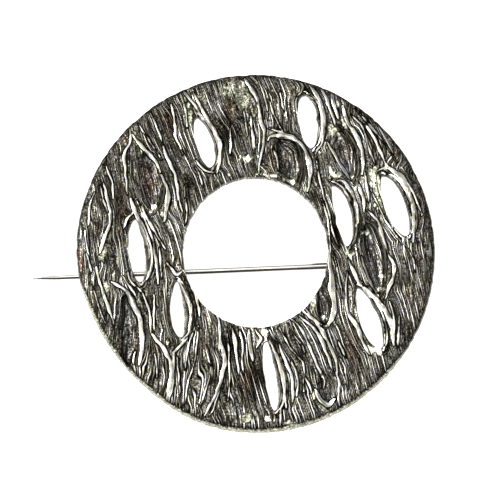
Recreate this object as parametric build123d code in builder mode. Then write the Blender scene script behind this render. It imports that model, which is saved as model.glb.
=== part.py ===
from build123d import *
import os
from collections import namedtuple
from math import atan2, cos, degrees, exp, hypot, log, pi, radians, sin, tan

# A circle brooch: a flat cast silver ring with a bark-like front, pierced by slim lens-shaped
# openings, with a hinged pin that crosses its back. It lies face up on a table, on its pin hinge,
# its catch and the upper edge of the ring.

# Driving dimensions, in millimetres and degrees

outer_radius = 30.0
oval_share = 0.008
flat_share = 0.036
flat_angle = 219.0
flat_half_width = 28.0
flat_sharpness = 3
hole_radius = 12.25
hole_oval_share = 0.043
hole_drop = 0.19
band_width = outer_radius - hole_radius
ground_thickness = 1.5
edge_flare = 0.35
hole_flare = 0.12

rim_height = 0.45
rim_width = 0.42
left_rim_share = 0.4
dent_depth = 0.75
dent_wall_share = 0.5
strand_height = 0.42
side_bluntness = 0.5

furrow_pitch = 2.1
furrow_height = 0.14
grain_lean = 7.0
grain_fan = 9.0
grain_sway = 0.5
grain_sway_length = 25.0
grain_push_reach = 2.2

facet_across = 0.52
facet_along = 1.15
snap_reach = 0.16
slope_step = 0.016
least_steepness = 0.5

pin_depth = 2.0
pin_offset = 2.6
pin_slope = 2.45
pin_tip_reach = 37.8
pin_point_length = 4.0
pin_point_radius = 0.04
pin_neck_radius = 0.38
pin_middle_reach = 5.0
pin_middle_radius = 0.5
pin_root_radius = 0.58

hinge_reach = 18.4
rivet_radius = 0.42
rivet_head_radius = 0.75
rivet_head_height = 0.3
rivet_head_round = 0.12
rivet_fit = 0.03
eye_radius = 1.05
eye_width = 1.2
eye_fit = 0.05
ear_fit = 0.06
ear_thickness = 0.7
ear_radius = 1.2
bracket_length = 5.0
bracket_thickness = 0.5
solder_depth = 0.3

catch_reach = 25.3
catch_length = 3.2
catch_fit = 0.12
catch_corner = 0.4

# The eight pierced openings. Each is a lens on a chord that leans from upper left to lower right.
# angle and across place its middle on the band. length, left, right and lip are shares of the
# band's width: how far each side bows out, and how far the right wall slopes in towards the back.
# left_at and right_at say how far down each side is widest, and rim is a share of rim_height.

Opening = namedtuple("Opening", "angle across length lean left left_at right right_at lip rim")
openings = (
    Opening(115.2, 0.464, 0.506, 14.0, 0.078, 0.48, 0.098, 0.58, 0.012, 0.9),
    Opening(179.8, 0.425, 0.608, 4.5, 0.090, 0.48, 0.104, 0.60, 0.042, 0.9),
    Opening(68.1, 0.654, 0.524, 7.0, 0.093, 0.46, 0.108, 0.46, 0.015, 1.0),
    Opening(22.7, 0.175, 0.602, 13.0, 0.041, 0.56, 0.128, 0.46, 0.012, 0.9),
    Opening(18.0, 0.700, 0.621, 21.5, 0.097, 0.56, 0.124, 0.45, 0.012, 1.0),
    Opening(217.6, 0.221, 0.540, 4.0, 0.084, 0.55, 0.089, 0.58, 0.046, 0.8),
    Opening(329.1, 0.561, 0.614, 20.0, 0.101, 0.58, 0.098, 0.54, 0.012, 1.0),
    Opening(276.9, 0.507, 0.657, 5.5, 0.063, 0.34, 0.080, 0.66, 0.025, 0.8),
)

# The eight almond-shaped dents, cast into the front and not pierced, in the same columns. depth is
# a share of dent_depth.

Dent = namedtuple("Dent", "angle across length lean left left_at right right_at depth rim")
dents = (
    Dent(146.8, 0.525, 0.573, 8.0, 0.105, 0.55, 0.105, 0.50, 0.9, 0.8),
    Dent(94.7, 0.763, 0.427, 8.0, 0.100, 0.50, 0.110, 0.50, 0.6, 0.6),
    Dent(70.9, 0.219, 0.480, 14.0, 0.120, 0.55, 0.120, 0.40, 1.0, 1.0),
    Dent(47.3, 0.557, 0.490, 15.7, 0.090, 0.55, 0.095, 0.45, 0.9, 0.9),
    Dent(-4.0, 0.414, 0.683, 9.6, 0.100, 0.55, 0.100, 0.45, 1.0, 0.7),
    Dent(212.1, 0.745, 0.684, 3.0, 0.105, 0.50, 0.105, 0.45, 0.9, 0.6),
    Dent(320.3, 0.126, 0.377, 6.0, 0.060, 0.55, 0.065, 0.60, 1.0, 0.6),
    Dent(296.2, 0.797, 0.351, 9.3, 0.090, 0.55, 0.090, 0.55, 0.7, 0.7),
)

# The bold raised strands between them. Each runs from one place on the band to another and bows
# to its left by bow, a share of its length. width is a share of the band's width, and height a
# share of strand_height.

Strand = namedtuple("Strand", "angle across end_angle end_across bow width height")
strands = (
    Strand(139.0, 0.35, 158.0, 0.32, 0.10, 0.050, 0.9),
    Strand(154.5, 0.90, 178.5, 0.80, -0.16, 0.045, 0.8),
    Strand(128.0, 0.85, 152.0, 0.62, 0.10, 0.035, 0.6),
    Strand(135.0, 0.30, 170.0, 0.12, 0.05, 0.040, 0.6),
    Strand(160.0, 0.50, 188.0, 0.30, 0.03, 0.050, 0.8),
    Strand(91.0, 0.90, 92.0, 0.20, 0.08, 0.040, 0.8),
    Strand(70.0, 0.98, 55.0, 0.75, 0.10, 0.035, 0.7),
    Strand(52.0, 0.90, 27.0, 0.55, 0.10, 0.045, 0.8),
    Strand(43.0, 0.92, 32.0, 0.80, 0.06, 0.040, 0.7),
    Strand(30.0, 0.35, 358.0, 0.78, 0.04, 0.050, 0.8),
    Strand(192.0, 0.70, 232.0, 0.66, 0.16, 0.060, 1.0),
    Strand(188.0, 0.88, 212.0, 0.90, 0.04, 0.035, 0.6),
    Strand(219.0, 0.48, 238.5, 0.92, 0.14, 0.060, 0.9),
    Strand(232.0, 0.26, 239.0, 0.45, -0.05, 0.040, 0.8),
    Strand(233.5, 0.03, 254.5, 0.42, 0.05, 0.045, 0.7),
    Strand(254.5, 0.42, 252.5, 0.92, 0.12, 0.050, 0.9),
    Strand(353.0, 0.06, 318.0, 0.28, 0.12, 0.055, 0.9),
    Strand(309.0, 0.06, 302.5, 0.70, 0.10, 0.050, 0.9),
    Strand(300.0, 0.05, 300.0, 0.66, 0.12, 0.045, 0.8),
    Strand(345.0, 0.20, 330.0, 0.60, 0.06, 0.040, 0.7),
    Strand(357.0, 0.60, 337.0, 0.62, 0.14, 0.045, 0.7),
    Strand(287.0, 0.22, 284.0, 0.85, 0.06, 0.035, 0.6),
)

# How the ring lies at rest. It stands on the hinge ears, on the catch and on its own upper edge,
# so it leans a few degrees, turned about the line of the pin.

ear_inside = eye_width / 2 + ear_fit
ear_outside = ear_inside + ear_thickness
support_drop = pin_depth + ear_radius
top_foot = outer_radius * (1 + oval_share) + edge_flare
lean = degrees(atan2(support_drop, top_foot + pin_offset - ear_outside))
back_height = top_foot * sin(radians(lean))
right_foot = outer_radius + edge_flare
tip_foot = pin_tip_reach * cos(radians(pin_slope)) - pin_offset * sin(radians(pin_slope))

pin_way = Vector(cos(radians(pin_slope)), sin(radians(pin_slope)), 0)
lean_axis = Axis((0, 0, 0), pin_way)
back = Plane(
    origin=((tip_foot - right_foot) / 2, 0, back_height),
    x_dir=Vector(1, 0, 0).rotate(lean_axis, -lean),
    z_dir=Vector(0, 0, 1).rotate(lean_axis, -lean),
)


def on_band(angle, across):
    """The point of the ring at an angle and a share of the way across its band."""
    radius = hole_radius + across * band_width
    return radius * cos(radians(angle)), radius * sin(radians(angle))


def outline_radius(x, y):
    """The radius of the ring's front edge in the direction of a point."""
    angle = degrees(atan2(y, x)) % 360
    flat = flat_share * exp(-(abs((angle - flat_angle) / flat_half_width) ** flat_sharpness))
    return outer_radius * (1 + oval_share * sin(radians(angle)) ** 2 - flat)


def hole_edge_radius(x, y):
    """The distance of the middle hole's edge from the ring's middle, in the direction of a point."""
    upward = sin(atan2(y, x))
    return hole_radius * (1 + hole_oval_share * upward**2) - hole_drop * upward


def side_bow(share, widest_at):
    """How far a lens's side has bowed out at a share of its length, from 0 at its ends to 1."""
    return max(0.0, sin(pi * share ** (log(0.5) / log(widest_at)))) ** side_bluntness


def lens_gap(lens, x, y):
    """A point's place by a lens: its gap to the outline, its offset right of the chord, its share
    of the length and the width of the lens there. The gap is negative inside."""
    middle_x, middle_y = on_band(lens.angle, lens.across)
    length = lens.length * band_width
    lean_sin = sin(radians(lens.lean))
    lean_cos = cos(radians(lens.lean))
    down = (x - middle_x) * lean_sin - (y - middle_y) * lean_cos
    out = (x - middle_x) * lean_cos + (y - middle_y) * lean_sin
    share = min(max(down / length + 0.5, 0.0), 1.0)
    bulge, widest_at = (lens.left, lens.left_at) if out < 0 else (lens.right, lens.right_at)
    width = bulge * band_width * side_bow(share, widest_at)
    past_end = max(abs(down) - length / 2, 0.0)
    beside = abs(out) - width
    gap = hypot(max(beside, 0.0), past_end) if past_end > 0 else beside
    return gap, out, share, width


def metal_depth(x, y):
    """How far a point lies inside the pierced ring, seen from the front, negative outside it."""
    radius = hypot(x, y)
    depth = min(outline_radius(x, y) - radius, radius - hole_edge_radius(x, y))
    for lens in openings:
        depth = min(depth, lens_gap(lens, x, y)[0])
    return depth


def strand_relief(strand, x, y):
    """The height of a bowed strand over a point."""
    start_x, start_y = on_band(strand.angle, strand.across)
    end_x, end_y = on_band(strand.end_angle, strand.end_across)
    length = hypot(end_x - start_x, end_y - start_y)
    way_x = (end_x - start_x) / length
    way_y = (end_y - start_y) / length
    share = ((x - start_x) * way_x + (y - start_y) * way_y) / length
    if not 0.0 < share < 1.0:
        return 0.0
    middle = strand.bow * length * 4 * share * (1 - share)
    out = (y - start_y) * way_x - (x - start_x) * way_y - middle
    taper = sin(pi * share) ** 0.5
    width = strand.width * band_width * taper
    if abs(out) >= width:
        return 0.0
    return strand_height * strand.height * taper * cos(out / width * pi / 2)


def relief_height(x, y):
    """The height of the cast front above the back face."""
    grain = x + y * tan(radians(grain_lean + grain_fan * x / outer_radius))
    grain += grain_sway * sin(2 * pi * (y + x / 2) / grain_sway_length)
    ground = ground_thickness
    raised = 0.0
    calm = 1.0
    for lens in openings + dents:
        gap, out, share, width = lens_gap(lens, x, y)
        outside = max(gap, 0.0)
        side_share = 1.0 if out > 0 else left_rim_share
        rim = rim_height * lens.rim * side_share * exp(-((gap - rim_width) / rim_width) ** 2)
        raised = max(raised, rim)
        grain -= width * exp(-outside / grain_push_reach) * (1 if out > 0 else -1)
        calm = min(calm, 1.0 - exp(-((outside / rim_width) ** 2)))
        if isinstance(lens, Dent) and gap < 0:
            inward = min(1.0, -gap / (dent_wall_share * width))
            ground -= dent_depth * lens.depth * inward * (2 - inward)
    for strand in strands:
        raised = max(raised, strand_relief(strand, x, y))
    return ground + raised + furrow_height * calm * sin(2 * pi * grain / furrow_pitch)


def foot_point(x, y):
    """Where the wall below a point of the front's edge meets the back face."""
    radius = hypot(x, y)
    if radius > (hole_radius + outer_radius) / 2 and outline_radius(x, y) - radius < snap_reach:
        grown = (radius + edge_flare) / radius
        return x * grown, y * grown
    if radius - hole_edge_radius(x, y) < snap_reach:
        shrunk = (radius - hole_flare) / radius
        return x * shrunk, y * shrunk
    lens = min(openings, key=lambda opening: abs(lens_gap(opening, x, y)[0]))
    gap, out, share, width = lens_gap(lens, x, y)
    slope = lens.lip * band_width * side_bow(share, lens.right_at) if out > 0 else 0.0
    return x - slope * cos(radians(lens.lean)), y - slope * sin(radians(lens.lean))


def snapped(x, y):
    """A grid point with its depth, moved onto the edge of the metal where it lies close to it."""
    depth = metal_depth(x, y)
    if abs(depth) > snap_reach:
        return x, y, depth
    slope_x = (metal_depth(x + slope_step, y) - depth) / slope_step
    slope_y = (metal_depth(x, y + slope_step) - depth) / slope_step
    steepness = max(slope_x**2 + slope_y**2, least_steepness)
    return x - depth * slope_x / steepness, y - depth * slope_y / steepness, 0.0


def kept_corners(triangle):
    """The corners of the part of a triangle that is metal."""
    if max(depth for x, y, depth in triangle) <= 0:
        return []
    kept = []
    for here, there in zip(triangle, triangle[1:] + triangle[:1]):
        if here[2] >= 0:
            kept.append(here[:2])
        if here[2] * there[2] < 0:
            first, last = sorted((here, there))
            part = first[2] / (first[2] - last[2])
            cut_x = first[0] + part * (last[0] - first[0])
            cut_y = first[1] + part * (last[1] - first[1])
            kept.append((cut_x, cut_y))
    return kept


# The front of the ring as triangles, on a grid of points that is clipped to the pierced outline

facet_reach = top_foot + facet_along
columns = round(2 * facet_reach / facet_across)
rows = round(2 * facet_reach / facet_along)
grid = []
for row in range(rows + 1):
    y = facet_reach * (2 * row / rows - 1)
    row_points = []
    for column in range(columns + 1):
        x = facet_reach * (2 * column / columns - 1)
        row_points.append(snapped(x, y))
    grid.append(row_points)

triangles = []
for row in range(rows):
    for column in range(columns):
        low_left, low_right = grid[row][column], grid[row][column + 1]
        high_left, high_right = grid[row + 1][column], grid[row + 1][column + 1]
        for half in ([low_left, low_right, high_right], [low_left, high_right, high_left]):
            corners = kept_corners(half)
            for last in range(2, len(corners)):
                triangles.append((corners[0], corners[last - 1], corners[last]))

# The open edges of the front, chained into one loop for the outline and one for each hole

edges = {}
for triangle in triangles:
    for start, end in zip(triangle, triangle[1:] + triangle[:1]):
        edges[start, end] = triangle
following = {start: end for start, end in edges if (end, start) not in edges}
loops = []
while following:
    loop = [next(iter(following))]
    while loop[-1] in following:
        loop.append(following.pop(loop[-1]))
    loops.append(loop[:-1])
loops.sort(key=len)


def in_place(x, y, z):
    """A point of the ring, given square to its back face, where the leaning ring has it."""
    return back.from_local_coords((x, y, z))


def on_front(x, y):
    """A point of the cast front, where the leaning ring has it."""
    return in_place(x, y, relief_height(x, y))


def flat_face(corners):
    """A flat face through three corners or more."""
    return Face(Wire.make_polygon(corners))


# The walls go down from each loop to the flat back face, and close the cast ring

facets = []
for triangle in triangles:
    facets.append(flat_face([on_front(x, y) for x, y in triangle]))
feet = []
for loop in loops:
    top = [on_front(x, y) for x, y in loop]
    foot = [in_place(*foot_point(x, y), 0) for x, y in loop]
    for here in range(len(loop)):
        after = (here + 1) % len(loop)
        facets.append(flat_face([top[here], foot[here], foot[after]]))
        facets.append(flat_face([top[here], foot[after], top[after]]))
    feet.append(Wire.make_polygon(foot))
facets.append(Face(feet[-1], feet[:-1]))
cast_ring = Solid(Shell(facets))

# The line of the pin on the back, and planes square to the pin's swing

pin_x = pin_offset * sin(radians(pin_slope))
pin_y = -pin_offset * cos(radians(pin_slope))
pin_line = Plane(
    origin=in_place(pin_x, pin_y, -pin_depth),
    x_dir=pin_way.rotate(lean_axis, -lean),
    z_dir=back.z_dir,
)


def swing_plane(reach, sideways=0.0):
    """The plane of the pin's swing at a reach along the pin: x along the pin, y to the front."""
    return Plane(
        origin=pin_line.from_local_coords((reach, sideways, 0)),
        x_dir=pin_line.x_dir,
        z_dir=-pin_line.y_dir,
    )


def pin_radius(reach):
    """The radius of the pin at a reach along it, between the middle of the ring and the neck."""
    neck_reach = pin_tip_reach - pin_point_length
    part = (abs(reach) - pin_middle_reach) / (neck_reach - pin_middle_reach)
    return pin_middle_radius + (pin_neck_radius - pin_middle_radius) * part


# The hinge bracket: a small plate with two round ears, soldered to the back

with BuildPart() as hinge_bracket:
    with BuildSketch(swing_plane(hinge_reach)):
        with Locations((0, pin_depth - bracket_thickness)):
            Rectangle(bracket_length, bracket_thickness + solder_depth, align=(Align.CENTER, Align.MIN))
    extrude(amount=ear_outside, both=True)
    with BuildSketch(swing_plane(hinge_reach)):
        Circle(ear_radius)
        Rectangle(2 * ear_radius, pin_depth, align=(Align.CENTER, Align.MIN))
        Circle(rivet_radius + rivet_fit, mode=Mode.SUBTRACT)
    extrude(amount=ear_outside, both=True)
    with BuildSketch(swing_plane(hinge_reach)):
        with Locations((0, pin_depth - bracket_thickness)):
            Rectangle(bracket_length, 2 * support_drop, align=(Align.CENTER, Align.MAX))
    extrude(amount=ear_inside, both=True, mode=Mode.SUBTRACT)

# The catch: a soldered block with a slot that the pin snaps up into, open the way it swings

with BuildPart() as catch:
    with BuildSketch(swing_plane(-catch_reach)):
        with Locations((0, pin_depth + solder_depth)):
            Rectangle(catch_length, support_drop + solder_depth, align=(Align.CENTER, Align.MAX))
    extrude(amount=ear_outside, both=True)
    fillet(catch.edges().filter_by(Axis(pin_line.origin, pin_line.z_dir)), radius=catch_corner)
    slot_radius = pin_radius(catch_reach - catch_length / 2) + catch_fit
    slot_middle = pin_line.from_local_coords((-catch_reach, 0, 0))
    with BuildSketch(Plane(slot_middle, x_dir=pin_line.y_dir, z_dir=pin_line.x_dir)):
        Circle(slot_radius)
        Rectangle(2 * slot_radius, support_drop, align=(Align.CENTER, Align.MAX))
    extrude(amount=catch_length, both=True, mode=Mode.SUBTRACT)

with BuildPart() as ring_plate:
    add(cast_ring, clean=False)
    add(hinge_bracket.part, clean=False)
    add(catch.part, clean=False)

# The rivet through the ears, with a small rounded head at each end

with BuildPart() as hinge_rivet:
    rivet_reach = ear_outside + rivet_fit
    with BuildSketch(swing_plane(hinge_reach)):
        Circle(rivet_radius)
    extrude(amount=rivet_reach, both=True)
    for side in (-1, 1):
        with BuildSketch(swing_plane(hinge_reach, side * rivet_reach)):
            Circle(rivet_head_radius)
        extrude(amount=-side * rivet_head_height)
    rims = hinge_rivet.edges().filter_by(GeomType.CIRCLE)
    rims = rims.sort_by(Axis(pin_line.origin, pin_line.y_dir))
    fillet((rims[0], rims[-1]), radius=rivet_head_round)

# The pin: a flat eye on the rivet and a slim wire that tapers to a sharp point

with BuildPart() as pin_stem:
    with BuildSketch(swing_plane(0)):
        neck_reach = pin_tip_reach - pin_point_length
        with BuildLine():
            Polyline(
                (hinge_reach, 0),
                (hinge_reach, pin_root_radius),
                (pin_middle_reach, pin_middle_radius),
                (-pin_middle_reach, pin_middle_radius),
                (-neck_reach, pin_neck_radius),
                (-pin_tip_reach, pin_point_radius),
                (-pin_tip_reach, 0),
                close=True,
            )
        make_face()
    revolve(axis=Axis(pin_line.origin, pin_line.x_dir))
    with BuildSketch(swing_plane(hinge_reach)):
        Circle(eye_radius)
    extrude(amount=eye_width / 2, both=True)
    with BuildSketch(swing_plane(hinge_reach)):
        Circle(rivet_radius + eye_fit)
    extrude(amount=eye_width, both=True, mode=Mode.SUBTRACT)

os.makedirs("parts", exist_ok=True)

ring_plate.part.label = "ring_plate"
export_step(ring_plate.part, "parts/ring_plate.step")

hinge_rivet.part.label = "hinge_rivet"
export_step(hinge_rivet.part, "parts/hinge_rivet.step")

pin_stem.part.label = "pin_stem"
export_step(pin_stem.part, "parts/pin_stem.step")

print("lean", round(lean, 3), "degrees, back face's middle", back.origin)
print("pin's swing axis", pin_line.from_local_coords((hinge_reach, 0, 0)), "along", -pin_line.y_dir)
print("pin's middle", pin_line.origin, "towards the tip", -pin_line.x_dir)
for piece in (ring_plate, hinge_rivet, pin_stem):
    print(piece.part.label, round(piece.part.volume, 2), "mm3,", len(piece.part.faces()), "faces")
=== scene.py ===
from collections import namedtuple
from math import cos, log, pi, radians, sin

import bpy
import numpy as np
from mathutils import Matrix, Vector


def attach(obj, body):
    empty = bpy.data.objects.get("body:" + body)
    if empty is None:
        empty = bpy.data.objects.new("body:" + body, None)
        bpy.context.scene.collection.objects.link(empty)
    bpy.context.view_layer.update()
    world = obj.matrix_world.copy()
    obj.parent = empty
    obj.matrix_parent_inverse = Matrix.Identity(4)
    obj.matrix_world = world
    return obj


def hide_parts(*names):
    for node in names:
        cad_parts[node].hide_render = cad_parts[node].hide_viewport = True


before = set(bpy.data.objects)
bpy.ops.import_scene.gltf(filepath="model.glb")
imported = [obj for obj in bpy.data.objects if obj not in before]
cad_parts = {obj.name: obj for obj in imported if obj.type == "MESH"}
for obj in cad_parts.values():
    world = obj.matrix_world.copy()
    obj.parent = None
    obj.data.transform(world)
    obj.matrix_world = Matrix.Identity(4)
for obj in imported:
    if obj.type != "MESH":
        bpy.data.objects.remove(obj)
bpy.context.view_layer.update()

# The cast ring. The real one is sterling silver, cast in one piece from a carved model, with a
# bark-like front, eight lens-shaped openings and eight dents. Its flat back is left plain. It was
# blackened all over and then rubbed bright on its high places.

mm = 0.001

outer_radius = 30.0
oval_share = 0.008
flat_share = 0.036
flat_angle = 219.0
flat_half_width = 28.0
flat_sharpness = 3
hole_radius = 12.25
hole_oval_share = 0.043
hole_drop = 0.19
band_width = outer_radius - hole_radius
ground_thickness = 1.5
edge_flare = 0.33
hole_flare = 0.12
edge_roughness = 0.16
edge_fall = 0.9
edge_fall_depth = 0.22

rim_height = 0.30
left_rim_share = 0.15
dent_rim_share = 0.5
side_bluntness = 0.5
dent_depth = 0.55
dent_wall_share = 0.85

strand_height = 0.34
patch_height = 0.08
crest_height = 0.12
streak_height = 0.05
soft_flank = 0.12
grain_reach = 1.3
farthest_ridge = 1.0

ground_tone = 0.345
wall_tone = 0.66
edge_tone = 0.47
shaded_wall_tone = 0.12

cell_across = 0.122
cell_along = 0.204

# Each opening is a lens on a chord that leans from upper left to lower right. angle and across
# place its middle on the band. length, left, right and lip are shares of the band's width: how far
# each side bows out, and how far the right wall slopes in towards the back. left_at and right_at
# say how far down each side is widest, and rim is a share of rim_height.

Lens = namedtuple("Lens", "angle across length lean left left_at right right_at lip rim")
openings = (
    Lens(115.2, 0.464, 0.506, 14.0, 0.078, 0.48, 0.098, 0.58, 0.012, 0.6),
    Lens(179.8, 0.425, 0.608, 4.5, 0.090, 0.48, 0.104, 0.60, 0.042, 0.9),
    Lens(68.1, 0.654, 0.524, 7.0, 0.093, 0.46, 0.108, 0.46, 0.015, 1.0),
    Lens(22.7, 0.175, 0.602, 13.0, 0.041, 0.56, 0.128, 0.46, 0.012, 0.5),
    Lens(18.0, 0.700, 0.621, 21.5, 0.097, 0.56, 0.124, 0.45, 0.012, 1.0),
    Lens(217.6, 0.221, 0.540, 4.0, 0.084, 0.55, 0.089, 0.58, 0.046, 0.8),
    Lens(329.1, 0.561, 0.614, 20.0, 0.101, 0.58, 0.098, 0.54, 0.012, 1.0),
    Lens(276.9, 0.507, 0.657, 5.5, 0.063, 0.34, 0.080, 0.66, 0.025, 0.8),
)

# The almond-shaped dents, in the same way. depth is a share of dent_depth.

Dent = namedtuple("Dent", "angle across length lean left left_at right right_at depth rim")
dents = (
    Dent(146.8, 0.525, 0.573, 8.0, 0.115, 0.55, 0.115, 0.50, 0.6, 0.6),
    Dent(94.7, 0.763, 0.427, 8.0, 0.100, 0.50, 0.110, 0.50, 0.6, 0.5),
    Dent(70.9, 0.219, 0.480, 14.0, 0.120, 0.55, 0.120, 0.40, 1.0, 0.9),
    Dent(47.3, 0.557, 0.490, 15.7, 0.105, 0.55, 0.100, 0.45, 0.7, 0.9),
    Dent(-4.0, 0.414, 0.683, 9.6, 0.100, 0.55, 0.100, 0.45, 1.0, 0.7),
    Dent(212.1, 0.745, 0.684, 3.0, 0.105, 0.50, 0.105, 0.45, 0.9, 0.5),
    Dent(320.3, 0.126, 0.377, 6.0, 0.060, 0.55, 0.065, 0.60, 1.0, 0.6),
    Dent(296.2, 0.797, 0.351, 9.3, 0.090, 0.55, 0.090, 0.55, 0.8, 0.2),
)

# The bold raised strands, drawn from the ring's centre: half width in millimetres, height
# as a share of strand_height, and the points that the crest runs through, from top to bottom.

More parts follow.
